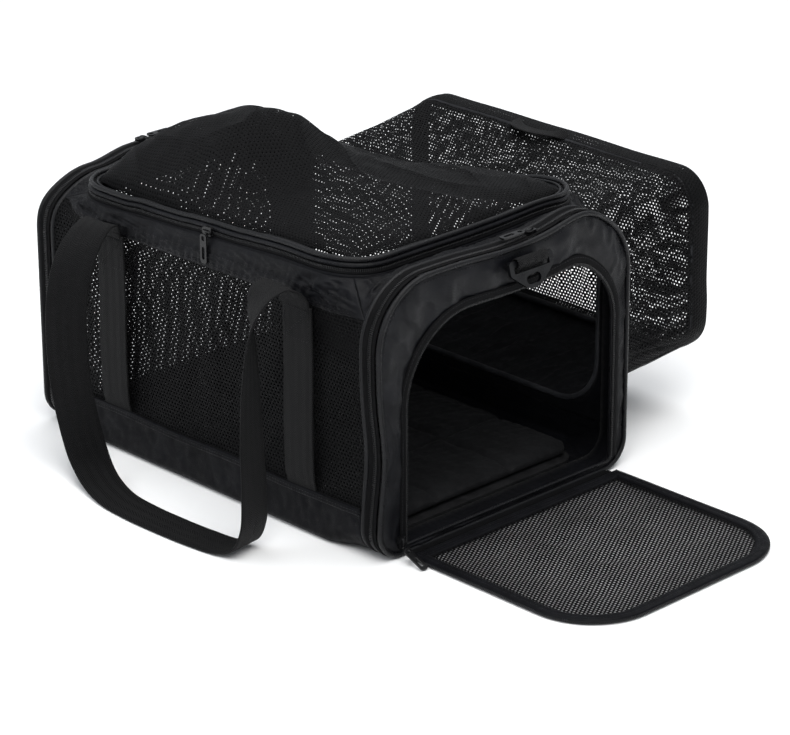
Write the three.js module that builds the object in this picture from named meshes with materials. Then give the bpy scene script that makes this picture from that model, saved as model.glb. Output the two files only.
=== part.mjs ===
// Soft-sided pet transport carrier: two sprung end frames joined by a fabric tub, mesh walls,
// a zip-off mesh roof, a mesh front door folded down, and a pull-out mesh tent on the far side.
// Millimetres. +X points out of the front door, +Y towards the pull-out tent, +Z up.
// The origin is the centre of the cabin's underside.
import * as THREE from 'three';

// ---- driving dimensions -------------------------------------------------------------------
const HALF_LENGTH = 222;
const HALF_WIDTH = 152.5;
const HEIGHT = 246;
const TOP_RADIUS = 60;
const BOTTOM_RADIUS = 28;
const BODY_BOTTOM_RADIUS = 7;

const GAP = 0.3;
const FABRIC = 1.6;
const SIDE_INSET = 1.5;
const PIPING_RADIUS = 2.6;
const WIRE_RADIUS = 1.6;

const GUSSET_START = 202.5;
const GUSSET_END = 216.5;
const BODY_END = 196.7;
const LOWER_BAND_TOP = 42;
const UPPER_BAND_BOTTOM = 211;

const OPENING_NEAR = -120;
const OPENING_FAR = 130;
const OPENING_BOTTOM = 9;
const OPENING_TOP = 204;
const OPENING_NEAR_RADIUS = 74;
const OPENING_FAR_RADIUS = 58;

const DOOR_START = 229;
const DOOR_END = 438;
const DOOR_NEAR = -124.5;
const DOOR_FAR = 130.5;
const DOOR_BOTTOM = 0.6;
const DOOR_BORDER = 12;
const DOOR_RADIUS = 62;

const RIM_REAR = -181;
const RIM_FRONT = 185;
const RIM_NEAR = -145;
const RIM_FAR = 138;
const RIM_RADIUS = 42;
const RIM_BOTTOM = 236.5;
const RIM_TOP = 241.5;
const FLAP_BOTTOM = 246.2;
const FLAP_TOP = 251.2;

const MOUTH_HALF_LENGTH = 188;
const MOUTH_BOTTOM = 40;
const MOUTH_TOP = 228;
const MOUTH_RADIUS = 50;
const TENT_REAR = -172;
const TENT_FRONT = 190;
const TENT_BOTTOM = 58;
const TENT_TOP = 232;
const TENT_RADIUS = 34;
const TENT_BAND_START = 277;
const TENT_BAND_END = 291;

const WEBBING_WIDTH = 36;
const WEBBING_THICKNESS = 1.7;
const FRONT_STRAP_X = 126;
const REAR_STRAP_X = -115;
const STRAP_FACE_Y = -152.3;

const RING_BAR_X = 227.5;
const RING_BAR_Z = 230;
const RING_Y = 18;
const RING_TILT = 14;

// ---- materials ----------------------------------------------------------------------------
const material = (color, roughness, metalness = 0) =>
  new THREE.MeshStandardMaterial({ color, roughness, metalness });

const OXFORD = material(0x1d1e22, 0.55);
const NETTING = material(0x141416, 0.8);
const WEBBING = material(0x18181a, 0.85);
const PIPING = material(0x1a1a1e, 0.5);
const ZIPPER = material(0x101012, 0.6);
const PLASTIC = material(0x1b1b1d, 0.4);
const METAL = material(0x2a2a2e, 0.3, 0.9);
const WIRE = material(0x77787c, 0.35, 0.9);
const BOARD = material(0x26262a, 0.7);
const PAD = material(0x2b2c30, 0.95);

const smooth = (t) => THREE.MathUtils.smoothstep(t, 0, 1);
const mix = THREE.MathUtils.lerp;

const carrier = new THREE.Group();

function add(name, geometry, look) {
  const mesh = new THREE.Mesh(geometry, look);
  mesh.name = name;
  carrier.add(mesh);
  return mesh;
}

// ---- outlines -----------------------------------------------------------------------------
// A rounded rectangle, counter-clockwise, with its own radius for the lower and upper corners.
function roundedOutline(ShapeClass, left, right, bottom, top, lowRadius, highRadius) {
  const outline = new ShapeClass();
  outline.moveTo(left + lowRadius, bottom);
  outline.lineTo(right - lowRadius, bottom);
  outline.absarc(right - lowRadius, bottom + lowRadius, lowRadius, -Math.PI / 2, 0);
  outline.lineTo(right, top - highRadius);
  outline.absarc(right - highRadius, top - highRadius, highRadius, 0, Math.PI / 2);
  outline.lineTo(left + highRadius, top);
  outline.absarc(left + highRadius, top - highRadius, highRadius, Math.PI / 2, Math.PI);
  outline.lineTo(left, bottom + lowRadius);
  outline.absarc(left + lowRadius, bottom + lowRadius, lowRadius, Math.PI, Math.PI * 1.5);
  return outline;
}

function endOutline(ShapeClass, inset) {
  return roundedOutline(
    ShapeClass, -HALF_WIDTH + inset, HALF_WIDTH - inset, inset, HEIGHT - inset,
    BOTTOM_RADIUS - inset, TOP_RADIUS - inset,
  );
}

function rimOutline(ShapeClass, inset) {
  return roundedOutline(
    ShapeClass, RIM_REAR + inset, RIM_FRONT - inset, RIM_NEAR + inset, RIM_FAR - inset,
    RIM_RADIUS - inset, RIM_RADIUS - inset,
  );
}

function mouthOutline(ShapeClass, inset) {
  return roundedOutline(
    ShapeClass, -MOUTH_HALF_LENGTH + inset, MOUTH_HALF_LENGTH - inset,
    MOUTH_BOTTOM + inset, MOUTH_TOP - inset, MOUTH_RADIUS - inset, MOUTH_RADIUS - inset,
  );
}

function tentOutline(ShapeClass, inset) {
  return roundedOutline(
    ShapeClass, TENT_REAR + inset, TENT_FRONT - inset, TENT_BOTTOM + inset, TENT_TOP - inset,
    TENT_RADIUS - inset, TENT_RADIUS - inset,
  );
}

// The arch of the door opening, in (Y, Z), grown outwards by `grow`.
function archOutline(ShapeClass, grow, bottom) {
  const near = OPENING_NEAR - grow;
  const far = OPENING_FAR + grow;
  const top = OPENING_TOP + grow;
  const nearRadius = OPENING_NEAR_RADIUS + grow;
  const farRadius = OPENING_FAR_RADIUS + grow;
  const outline = new ShapeClass();
  outline.moveTo(near, bottom);
  outline.lineTo(far, bottom);
  outline.lineTo(far, top - farRadius);
  outline.absarc(far - farRadius, top - farRadius, farRadius, 0, Math.PI / 2);
  outline.lineTo(near + nearRadius, top);
  outline.absarc(near + nearRadius, top - nearRadius, nearRadius, Math.PI / 2, Math.PI);
  outline.closePath();
  return outline;
}

function ringShape(outer, hole) {
  outer.holes.push(hole);
  return outer;
}

// ---- solids -------------------------------------------------------------------------------
function extrude(shape, from, to, curveSegments = 4) {
  const geometry = new THREE.ExtrudeGeometry(shape, {
    depth: to - from, bevelEnabled: false, curveSegments,
  });
  return geometry.translate(0, 0, from);
}

// Local (x, y, z) of an outline drawn in (Y, Z) becomes world (Y, Z, X).
const TO_YZ = new THREE.Matrix4().makeBasis(
  new THREE.Vector3(0, 1, 0), new THREE.Vector3(0, 0, 1), new THREE.Vector3(1, 0, 0),
);
// Local (x, y, z) of an outline drawn in (X, Z) becomes world (X, Z, -Y).
const TO_XZ = new THREE.Matrix4().makeBasis(
  new THREE.Vector3(1, 0, 0), new THREE.Vector3(0, 0, 1), new THREE.Vector3(0, -1, 0),
);

const slabAcrossX = (shape, x0, x1, segments) => extrude(shape, x0, x1, segments).applyMatrix4(TO_YZ);
const slabAcrossY = (shape, y0, y1, segments) => extrude(shape, -y1, -y0, segments).applyMatrix4(TO_XZ);

function fromQuads(positions, quads) {
  const index = quads.flatMap(([a, b, c, d]) => [a, b, c, a, c, d]);
  const geometry = new THREE.BufferGeometry();
  geometry.setAttribute('position', new THREE.Float32BufferAttribute(positions, 3));
  geometry.setIndex(index);
  return geometry;
}

// A round-section loop: `points` is a closed list of points, `axis` the loop plane's normal.
function loopTube(points, axis, radius, sides = 6) {
  const count = points.length;
  const positions = [];
  const quads = [];
  for (let i = 0; i < count; i += 1) {
    const tangent = points[(i + 1) % count].clone().sub(points[(i + count - 1) % count]).normalize();
    const outward = tangent.clone().cross(axis).normalize();
    for (let j = 0; j < sides; j += 1) {
      const angle = (2 * Math.PI * j) / sides;
      const point = points[i].clone()
        .addScaledVector(outward, radius * Math.cos(angle))
        .addScaledVector(axis, radius * Math.sin(angle));
      positions.push(point.x, point.y, point.z);
      const next = (j + 1) % sides;
      const ahead = ((i + 1) % count) * sides;
      quads.push([i * sides + j, ahead + j, ahead + next, i * sides + next]);
    }
  }
  return fromQuads(positions, quads);
}

function outlinePoints(outline, matrix, depth, segments) {
  const flat = outline.getPoints(segments).slice(0, -1);
  const unique = flat.filter((p, i) => p.distanceTo(flat[(i + flat.length - 1) % flat.length]) > 0.05);
  return unique.map((p) => new THREE.Vector3(p.x, p.y, depth).applyMatrix4(matrix));
}

// A fabric sheet: surface(u, v) gives its outer face, and it is `thickness` thick inwards.
// The outer face is on the side where dP/du x dP/dv points.
function sheet(surface, uSteps, vSteps, thickness) {
  const outer = [];
  const inner = [];
  const step = 1e-4;
  for (let i = 0; i <= uSteps; i += 1) {
    for (let j = 0; j <= vSteps; j += 1) {
      const u = i / uSteps;
      const v = j / vSteps;
      const point = surface(u, v);
      const du = surface(Math.min(u + step, 1), v).sub(surface(Math.max(u - step, 0), v));
      const dv = surface(u, Math.min(v + step, 1)).sub(surface(u, Math.max(v - step, 0)));
      const normal = du.cross(dv).normalize();
      outer.push(point);
      inner.push(point.clone().addScaledVector(normal, -thickness));
    }
  }
  const row = vSteps + 1;
  const offset = outer.length;
  const at = (i, j) => i * row + j;
  const quads = [];
  for (let i = 0; i < uSteps; i += 1) {
    for (let j = 0; j < vSteps; j += 1) {
      quads.push([at(i, j), at(i + 1, j), at(i + 1, j + 1), at(i, j + 1)]);
      quads.push([at(i, j), at(i, j + 1), at(i + 1, j + 1), at(i + 1, j)].map((k) => k + offset));
    }
  }
  const edge = [];
  for (let i = 0; i < uSteps; i += 1) edge.push(at(i, 0));
  for (let j = 0; j < vSteps; j += 1) edge.push(at(uSteps, j));
  for (let i = uSteps; i > 0; i -= 1) edge.push(at(i, vSteps));
  for (let j = vSteps; j > 0; j -= 1) edge.push(at(0, j));
  edge.forEach((a, k) => {
    const b = edge[(k + 1) % edge.length];
    quads.push([a, a + offset, b + offset, b]);
  });
  return fromQuads([...outer, ...inner].flatMap((p) => [p.x, p.y, p.z]), quads);
}

// A flat strap along `points` ([x, y, z, heading of its width in degrees about Z]), or along the
// stretch of it between the points numbered `from` and `to`.
function ribbon(points, width, thickness, steps, from = 0, to = points.length - 1) {
  const path = new THREE.CatmullRomCurve3(points.map(([x, y, z]) => new THREE.Vector3(x, y, z)));
  const positions = [];
  const quads = [];
  for (let i = 0; i <= steps; i += 1) {
    const place = mix(from, to, i / steps);
    const t = place / (points.length - 1);
    const centre = path.getPoint(t);
    const tangent = path.getTangent(t);
    const low = Math.min(Math.floor(place), points.length - 2);
    const heading = THREE.MathUtils.lerp(points[low][3], points[low + 1][3], place - low);
    const angle = THREE.MathUtils.degToRad(heading);
    const across = new THREE.Vector3(Math.cos(angle), Math.sin(angle), 0);
    across.addScaledVector(tangent, -across.dot(tangent)).normalize();
    const face = tangent.clone().cross(across);
    for (const [a, b] of [[-1, -1], [1, -1], [1, 1], [-1, 1]]) {
      const corner = centre.clone()
        .addScaledVector(across, (a * width) / 2)
        .addScaledVector(face, (b * thickness) / 2);
      positions.push(corner.x, corner.y, corner.z);
    }
    if (i > 0) {
      for (let j = 0; j < 4; j += 1) {
        const back = (i - 1) * 4;
        const next = (j + 1) % 4;
        quads.push([back + j, back + next, back + 4 + next, back + 4 + j]);
      }
    }
  }
  const last = steps * 4;
  quads.push([3, 2, 1, 0], [last, last + 1, last + 2, last + 3]);
  return fromQuads(positions, quads);
}

// ---- cabin floor and near side ---------------------------------------------------------------
// The fabric below the windows: across the bottom edge and up the side. Its bottom corner is
// tight in the middle and opens out to the end frames' corner at both ends.
function lowerBand(side, top) {
  const inset = 0.6;
  const face = HALF_WIDTH - inset;
  const innerY = HALF_WIDTH - BOTTOM_RADIUS + GAP;
  return sheet((u, v) => {
    const x = mix(-BODY_END, BODY_END, u);
    const opening = smooth((Math.abs(x) - 150) / (BODY_END - 150));
    const radius = mix(BODY_BOTTOM_RADIUS, BOTTOM_RADIUS - inset - GAP, opening);
    const along = side > 0 ? 1 - v : v;
    const corner = 0.25;
    let y = mix(innerY, face - radius, along / corner);
    let z = inset;
    if (along > 1 - corner) {
      y = face;
      z = mix(inset + radius, top, (along - 1 + corner) / corner);
    } else if (along > corner) {
      const angle = ((along - corner) / (1 - 2 * corner)) * (Math.PI / 2);
      y = face - radius + radius * Math.sin(angle);
      z = inset + radius - radius * Math.cos(angle);
    }
    return new THREE.Vector3(x, side * y, z);
  }, 12, 8, FABRIC);
}

function buildFloor() {
  const flatHalf = HALF_WIDTH - BOTTOM_RADIUS - GAP;
  const boardHalfLength = 190;
  const boardHalfWidth = 122;
  const boardTop = 7;
  const matTop = 20;
  const panel = roundedOutline(THREE.Shape, -BODY_END, BODY_END, -flatHalf, flatHalf, 1, 1);
  const board = roundedOutline(
    THREE.Shape, -boardHalfLength, boardHalfLength, -boardHalfWidth, boardHalfWidth, 18, 18,
  );
  const mat = roundedOutline(
    THREE.Shape, -boardHalfLength - 2, boardHalfLength + 2, -boardHalfWidth - 10,
    boardHalfWidth + 10, 24, 24,
  );
  add('bottom_panel', extrude(panel, 0, 2.4), OXFORD);
  add('base_board', extrude(board, 2.8, boardTop), BOARD);
  add('base_mat', extrude(mat, boardTop + GAP, matTop), PAD);
  add('near_lower_band', lowerBand(-1, LOWER_BAND_TOP), OXFORD);
  add('far_lower_band', lowerBand(1, MOUTH_BOTTOM - 8), OXFORD);
}

function buildNearWindow() {
  const face = -HALF_WIDTH + SIDE_INSET;
  const window = sheet(
    (u, v) => new THREE.Vector3(
      mix(-BODY_END, BODY_END, u), face,
      mix(LOWER_BAND_TOP + GAP, UPPER_BAND_BOTTOM - 1, v),
    ), 2, 2, FABRIC,
  );
  add('near_window_mesh', window, NETTING);
  for (const [name, x] of [['near_strap_front', FRONT_STRAP_X], ['near_strap_rear', REAR_STRAP_X]]) {
    const strap = new THREE.BoxGeometry(WEBBING_WIDTH, WEBBING_THICKNESS, 178);
    add(name, strap, WEBBING).position.set(x, STRAP_FACE_Y - WEBBING_THICKNESS / 2, 116);
  }
}

// ---- end frames -------------------------------------------------------------------------------
// `way` is +1 for the front and -1 for the rear.
function slabAtEnd(shape, near, far, way, segments) {
  return way > 0 ? slabAcrossX(shape, near, far, segments) : slabAcrossX(shape, -far, -near, segments);
}

function endLoop(inset, x, segments = 3) {
  return outlinePoints(endOutline(THREE.Path, inset), TO_YZ, x, segments);
}

function buildEndFrame(end, way) {
  const axis = new THREE.Vector3(1, 0, 0);
  const pipe = (x) => loopTube(endLoop(PIPING_RADIUS, x * way), axis, PIPING_RADIUS);
  const outerPipeX = HALF_LENGTH - PIPING_RADIUS;
  const innerPipeX = GUSSET_START - GAP - PIPING_RADIUS;
  add(`${end}_outer_piping`, pipe(outerPipeX), PIPING);
  add(`${end}_inner_piping`, pipe(innerPipeX), PIPING);
  const tape = ringShape(endOutline(THREE.Shape, 1), endOutline(THREE.Path, 3));
  add(`${end}_gusset_zipper`, slabAtEnd(tape, GUSSET_START, GUSSET_END, way), ZIPPER);
  const wireInset = 3.6 + WIRE_RADIUS;
  const wireX = (GUSSET_START + GUSSET_END) / 2;
  add(`${end}_frame_wire`, loopTube(endLoop(wireInset, wireX * way), axis, WIRE_RADIUS), WIRE);
  const ring = ringShape(
    endOutline(THREE.Shape, 2 * PIPING_RADIUS + 0.8), archOutline(THREE.Path, 0, OPENING_BOTTOM),
  );
  add(`${end}_padded_ring`, slabAtEnd(ring, 215, 221, way), OXFORD);
}

function buildOpeningZipper() {
  const tapeWidth = 8;
  const tape = ringShape(
    archOutline(THREE.Shape, tapeWidth, OPENING_BOTTOM + 3),
    archOutline(THREE.Path, 0.5, OPENING_BOTTOM + 3 + tapeWidth),
  );
  add('opening_zipper', slabAcrossX(tape, 221.3, 222.5), ZIPPER);
}

function buildRearWindow() {
  const window = archOutline(THREE.Shape, -0.4, OPENING_BOTTOM + 0.4);
  add('rear_window_mesh', slabAcrossX(window, -219.4, -217.8), NETTING);
}

// ---- shoulders between the end frames and the roof opening -------------------------------------
// Points of a quarter of the roof opening's outline, from corner middle to corner middle.
function cornerPoint(corner, angle) {
  const cx = corner.x > 0 ? RIM_FRONT - RIM_RADIUS : RIM_REAR + RIM_RADIUS;
  const cy = corner.y > 0 ? RIM_FAR - RIM_RADIUS : RIM_NEAR + RIM_RADIUS;
  const reach = RIM_RADIUS + FABRIC + 0.7;
  return new THREE.Vector3(cx + reach * Math.cos(angle), cy + reach * Math.sin(angle), 0);
}

// One side of the outline, u from 0 to 1: half a corner, the straight, half a corner.
function rimSide(fromCorner, toCorner, fromAngle, u) {
  const quarter = Math.PI / 4;
  const share = 0.16;
  if (u < share) return cornerPoint(fromCorner, fromAngle + (quarter * u) / share);
  if (u > 1 - share) {
    return cornerPoint(toCorner, fromAngle + quarter + (quarter * (u - 1 + share)) / share);
  }
  const start = cornerPoint(fromCorner, fromAngle + quarter);
  const end = cornerPoint(toCorner, fromAngle + quarter);
  return start.lerp(end, (u - share) / (1 - 2 * share));
}

// The end frame's outline over the top, from the near upper band (u = 0) to the far one (u = 1).
function overTheTop(u, x) {
  const inset = SIDE_INSET;
  const face = HALF_WIDTH - inset;
  const radius = TOP_RADIUS - inset;
  const centreY = face - radius;
  const centreZ = HEIGHT - inset - radius;
  const share = 0.3;
  const startAngle = Math.asin((UPPER_BAND_BOTTOM - centreZ) / radius);
  const sweep = Math.PI / 2 - startAngle;
  if (u > share && u < 1 - share) {
    const y = mix(-centreY, centreY, (u - share) / (1 - 2 * share));
    return new THREE.Vector3(x, y, HEIGHT - inset);
  }
  const side = u < 0.5 ? -1 : 1;
  const part = u < 0.5 ? u / share : (1 - u) / share;
  const angle = startAngle + sweep * part;
  return new THREE.Vector3(
    x, side * (centreY + radius * Math.cos(angle)), centreZ + radius * Math.sin(angle),
  );
}

function farTopZ(x) {
  const drop = MOUTH_TOP + 8 - UPPER_BAND_BOTTOM;
  return MOUTH_TOP + 8 - drop * smooth((Math.abs(x) - 160) / 36);
}

function shoulder(outerAt, innerAt, bulge, bulgeWay) {
  const margin = 0.003;
  const rimZ = RIM_TOP - 2;
  return sheet((u, v) => {
    const along = mix(margin, 1 - margin, u);
    const inner = innerAt(along).setZ(rimZ);
    const point = outerAt(along).lerp(inner, v);
    return point.addScaledVector(bulgeWay, bulge * 4 * v * (1 - v));
  }, 20, 2, FABRIC);
}

function buildShoulders() {
  const nearFace = -HALF_WIDTH + SIDE_INSET;
  const corner = (x, y) => ({ x, y });
  const nearRear = corner(-1, -1);
  const nearFront = corner(1, -1);
  const farFront = corner(1, 1);
  const farRear = corner(-1, 1);
  const eighth = Math.PI / 4;
  const outwards = new THREE.Vector3(0, -1, 0);
  const upwards = new THREE.Vector3(0, 0, 1);
  const nearOuter = (u) => new THREE.Vector3(mix(-BODY_END, BODY_END, u), nearFace, UPPER_BAND_BOTTOM);
  const nearInner = (u) => rimSide(nearRear, nearFront, -3 * eighth, u);
  const frontOuter = (u) => overTheTop(u, BODY_END - 0.6);
  const frontInner = (u) => rimSide(nearFront, farFront, -eighth, u);
  const farOuter = (u) => {
    const x = mix(BODY_END, -BODY_END, u);
    return new THREE.Vector3(x, HALF_WIDTH - SIDE_INSET, farTopZ(x));
  };
  const farInner = (u) => rimSide(farFront, farRear, eighth, u);
  const rearOuter = (u) => overTheTop(1 - u, 0.6 - BODY_END);
  const rearInner = (u) => rimSide(farRear, nearRear, 3 * eighth, u);
  add('near_upper_band', shoulder(nearOuter, nearInner, 1, outwards), OXFORD);
  add('front_top_strip', shoulder(frontOuter, frontInner, 1, upwards), OXFORD);
  add('far_upper_band', shoulder(farOuter, farInner, 1.5, upwards), OXFORD);
  add('rear_top_strip', shoulder(rearOuter, rearInner, 1, upwards), OXFORD);
}

// ---- roof opening and roof flap ---------------------------------------------------------------
function rimLoop(inset, z) {
  return outlinePoints(rimOutline(THREE.Path, inset), new THREE.Matrix4(), z, 4);
}

function buildRoof() {
  const up = new THREE.Vector3(0, 0, 1);
  const trimRadius = 2;
  const band = ringShape(rimOutline(THREE.Shape, 0), rimOutline(THREE.Path, 10));
  add('roof_opening_band', extrude(band, RIM_BOTTOM, RIM_TOP), OXFORD);
  const rimPipe = loopTube(rimLoop(1.8, (RIM_TOP + FLAP_BOTTOM) / 2), up, trimRadius);
  add('roof_opening_zipper', rimPipe, ZIPPER);
  const border = ringShape(rimOutline(THREE.Shape, 0.5), rimOutline(THREE.Path, 12));
  add('roof_flap_border', extrude(border, FLAP_BOTTOM, FLAP_TOP), OXFORD);
  const flapPipe = loopTube(rimLoop(2.5, FLAP_TOP + GAP + trimRadius), up, trimRadius);
  add('roof_flap_piping', flapPipe, PIPING);
}

function oneSided(at, centre, before, after) {
  return (at - centre) / (at < centre ? before : after);
}

/** How far the loose roof cloth slumps, most of all at the far rear corner. */
function roofSlump(x, y) {
  const near = 13 * smooth((150 - x) / 330);
  const far = 34 * smooth((190 - x) / 260);
  return near + (far - near) * smooth((y + 145) / 283);
}

/** The loose mesh of the roof stands up in two humps. */
function roofHeight(x, y, edge) {
  const main = 50 * Math.exp(-(oneSided(x, -47, 240, 48) ** 2) - oneSided(y, -34, 100, 64) ** 2);
  const second = 17 * Math.exp(-(((x - 24) / 78) ** 2) - ((y + 5) / 60) ** 2);
  return edge * Math.max(main + second + 20 - roofSlump(x, y), 4);
}

function buildRoofMesh() {
  const inset = 6.5;
  const centreX = (RIM_FRONT + RIM_REAR) / 2;
  const centreY = (RIM_FAR + RIM_NEAR) / 2;
  const halfX = (RIM_FRONT - RIM_REAR) / 2 - inset;
  const halfY = (RIM_FAR - RIM_NEAR) / 2 - inset;
  const mesh = sheet((u, v) => {
    const a = 2 * u - 1;
    const b = 2 * v - 1;
    const cut = RIM_RADIUS * 0.3 * Math.abs(a * b) ** 2.4;
    const x = centreX + a * halfX - Math.sign(a) * cut;
    const y = centreY + b * halfY - Math.sign(b) * cut;
    const edge = Math.sqrt((1 - a ** 4) * (1 - b ** 4));
    return new THREE.Vector3(x, y, FLAP_TOP + GAP + FABRIC + roofHeight(x, y, edge));
  }, 18, 14, FABRIC);
  add('roof_flap_mesh', mesh, NETTING);
}

// ---- front door, folded down on the floor ------------------------------------------------------
function doorOutline(ShapeClass, inset) {
  const outline = new ShapeClass();
  const near = DOOR_NEAR + inset;
  const far = DOOR_FAR - inset;
  const end = DOOR_END - inset;
  const radius = DOOR_RADIUS - inset;
  const start = DOOR_START + inset;
  outline.moveTo(start, near);
  outline.lineTo(end - radius, near);
  outline.absarc(end - radius, near + radius, radius, -Math.PI / 2, 0);
  outline.lineTo(end, far - radius);
  outline.absarc(end - radius, far - radius, radius, 0, Math.PI / 2);
  outline.lineTo(start, far);
  outline.closePath();
  return outline;
}

function buildDoor() {
  const border = ringShape(doorOutline(THREE.Shape, 0), doorOutline(THREE.Path, DOOR_BORDER));
  const meshInset = DOOR_BORDER + GAP;
  const thickness = 4.4;
  add('door_border', extrude(border, DOOR_BOTTOM, DOOR_BOTTOM + thickness), OXFORD);
  add('door_mesh', extrude(doorOutline(THREE.Shape, meshInset), 1.6, 1.6 + FABRIC), NETTING);
  const hem = new THREE.BoxGeometry(4, DOOR_FAR - DOOR_NEAR - 12, 3);
  const middle = (DOOR_NEAR + DOOR_FAR) / 2;
  add('door_hinge_tape', hem, WEBBING).position.set(DOOR_START - GAP - 2, middle, 2.2);
}

// ---- pull-out tent ------------------------------------------------------------------------------
function buildMouth() {
  const face = HALF_WIDTH - SIDE_INSET;
  const low = MOUTH_BOTTOM - 8 + GAP;
  const outer = new THREE.Shape();
  const steps = 12;
  outer.moveTo(-BODY_END, low);
  outer.lineTo(BODY_END, low);
  for (let i = 0; i <= steps; i += 1) {
    const x = mix(BODY_END, 120, i / steps);
    outer.lineTo(x, farTopZ(x) - FABRIC - 3.6);
  }
  for (let i = 0; i <= steps; i += 1) {
    const x = mix(-120, -BODY_END, i / steps);
    outer.lineTo(x, farTopZ(x) - FABRIC - 3.6);
  }
  outer.closePath();
  const panel = ringShape(outer, mouthOutline(THREE.Path, 0));
  add('far_mouth_panel', slabAcrossY(panel, face - FABRIC, face), OXFORD);
  const binding = ringShape(mouthOutline(THREE.Shape, 0.4), mouthOutline(THREE.Path, 6));
  add('far_mouth_binding', slabAcrossY(binding, face - 2.5, face + 0.5), PIPING);
}

// One side of a rounded rectangle in (X, Z): u runs from corner middle to corner middle.
function boxSide(box, side, u, y) {
  const { left, right, bottom, top, radius } = box;
  const corners = [
    [right - radius, top - radius], [left + radius, top - radius],
    [left + radius, bottom + radius], [right - radius, bottom + radius],
  ];
  const quarter = Math.PI / 4;
  const startAngle = quarter + (side * Math.PI) / 2;
  const share = 0.14;
  const at = ([cx, cz], angle) => new THREE.Vector3(
    cx + radius * Math.cos(angle), y, cz + radius * Math.sin(angle),
  );
  const from = corners[side];
  const to = corners[(side + 1) % 4];
  if (u < share) return at(from, startAngle + (quarter * u) / share);
  if (u > 1 - share) return at(to, startAngle + quarter + (quarter * (u - 1 + share)) / share);
  const angle = startAngle + quarter;
  return at(from, angle).lerp(at(to, angle), (u - share) / (1 - 2 * share));
}

function buildTentWalls() {
  const startY = HALF_WIDTH;
  const endY = TENT_BAND_START - GAP;
  const mouth = {
    left: -MOUTH_HALF_LENGTH, right: MOUTH_HALF_LENGTH, bottom: MOUTH_BOTTOM, top: MOUTH_TOP,
    radius: MOUTH_RADIUS,
  };
  const rim = {
    left: TENT_REAR, right: TENT_FRONT, bottom: TENT_BOTTOM, top: TENT_TOP, radius: TENT_RADIUS,
  };
  const margin = 0.004;
  const wall = (side) => sheet((u, v) => {
    const along = mix(margin, 1 - margin, u);
    const from = boxSide(mouth, side, along, startY);
    const to = boxSide(rim, side, along, endY);
    return to.lerp(from, v);
  }, 14, 2, FABRIC);
  add('tent_top_wall', wall(0), NETTING);
  add('tent_rear_wall', wall(1), NETTING);
  add('tent_floor', wall(2), OXFORD);
  add('tent_front_wall', wall(3), NETTING);
}

function buildTentPanel() {
  const axis = new THREE.Vector3(0, -1, 0);
  const band = ringShape(tentOutline(THREE.Shape, 0), tentOutline(THREE.Path, 2));
  add('tent_outer_band', slabAcrossY(band, TENT_BAND_START, TENT_BAND_END), NETTING);
  const wireY = TENT_BAND_START + WIRE_RADIUS + 0.5;
  const wireLoop = outlinePoints(tentOutline(THREE.Path, 4.2), TO_XZ, -wireY, 3);
  add('tent_frame_wire', loopTube(wireLoop, axis, WIRE_RADIUS), PIPING);
  const panel = tentOutline(THREE.Shape, 0.5);
  add('tent_outer_mesh', slabAcrossY(panel, TENT_BAND_END + GAP, TENT_BAND_END + GAP + FABRIC), NETTING);
  const middle = (TENT_REAR + TENT_FRONT) / 2 - 16;
  const loopY = TENT_BAND_START - 6;
  const under = TENT_TOP - 8;
  add('tent_pull_loop', ribbon([
    [middle - 30, loopY + 4, under, 90], [middle - 22, loopY, under - 2, 90],
    [middle, loopY - 2, under - 7, 90], [middle + 22, loopY, under - 2, 90],
    [middle + 30, loopY + 4, under, 90],
  ], 12, WEBBING_THICKNESS, 12), WEBBING);
}

// ---- carrying handle ------------------------------------------------------------------------------
// One length of webbing: it rises from the front strap, arches outwards, hangs to the floor, lies
// there flat and comes back up to the rear strap. The two ends flex, and the loop between them
// swings up.
function buildHandle() {
  const route = [
    [FRONT_STRAP_X, -156.6, 208.5, 180], [FRONT_STRAP_X, -157.6, 215, 180], [127, -165, 225, 177],
    [129, -181, 233, 170], [132, -198, 229, 160], [133, -209, 214, 144], [134, -213, 190, 126],
    [134, -214, 150, 113], [134, -214, 100, 107], [135, -213, 58, 103], [133, -213, 28, 100],
    [124, -215, 9, 97], [106, -219, 2.6, 94], [74, -223, 1.7, 92], [36, -225, 1.6, 91],
    [0, -225, 1.6, 88], [-34, -222, 2.2, 82], [-66, -214, 7, 74], [-88, -207, 18, 64],
    [-100, -206, 41, 54], [-107, -210, 85, 48], [-108, -212, 132, 46], [-107, -210, 168, 44],
    [-105, -204, 194, 38], [-106, -191, 213, 26], [-109, -176, 223, 12], [-113, -164, 222, 3],
    [REAR_STRAP_X, -157.6, 215, 0], [REAR_STRAP_X, -156.6, 208.5, 0],
  ];
  const last = route.length - 1;
  const frontFlex = 5;
  const rearFlex = last - 4;
  const cut = 0.03;
  const part = (steps, from, to) => ribbon(
    route, WEBBING_WIDTH, WEBBING_THICKNESS, steps, from, to,
  );
  add('handle_front_root', part(12, 0, frontFlex - cut), WEBBING);
  add('carry_handle', part(46, frontFlex, rearFlex), WEBBING);
  add('handle_rear_root', part(12, rearFlex + cut, last), WEBBING);
}

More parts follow.
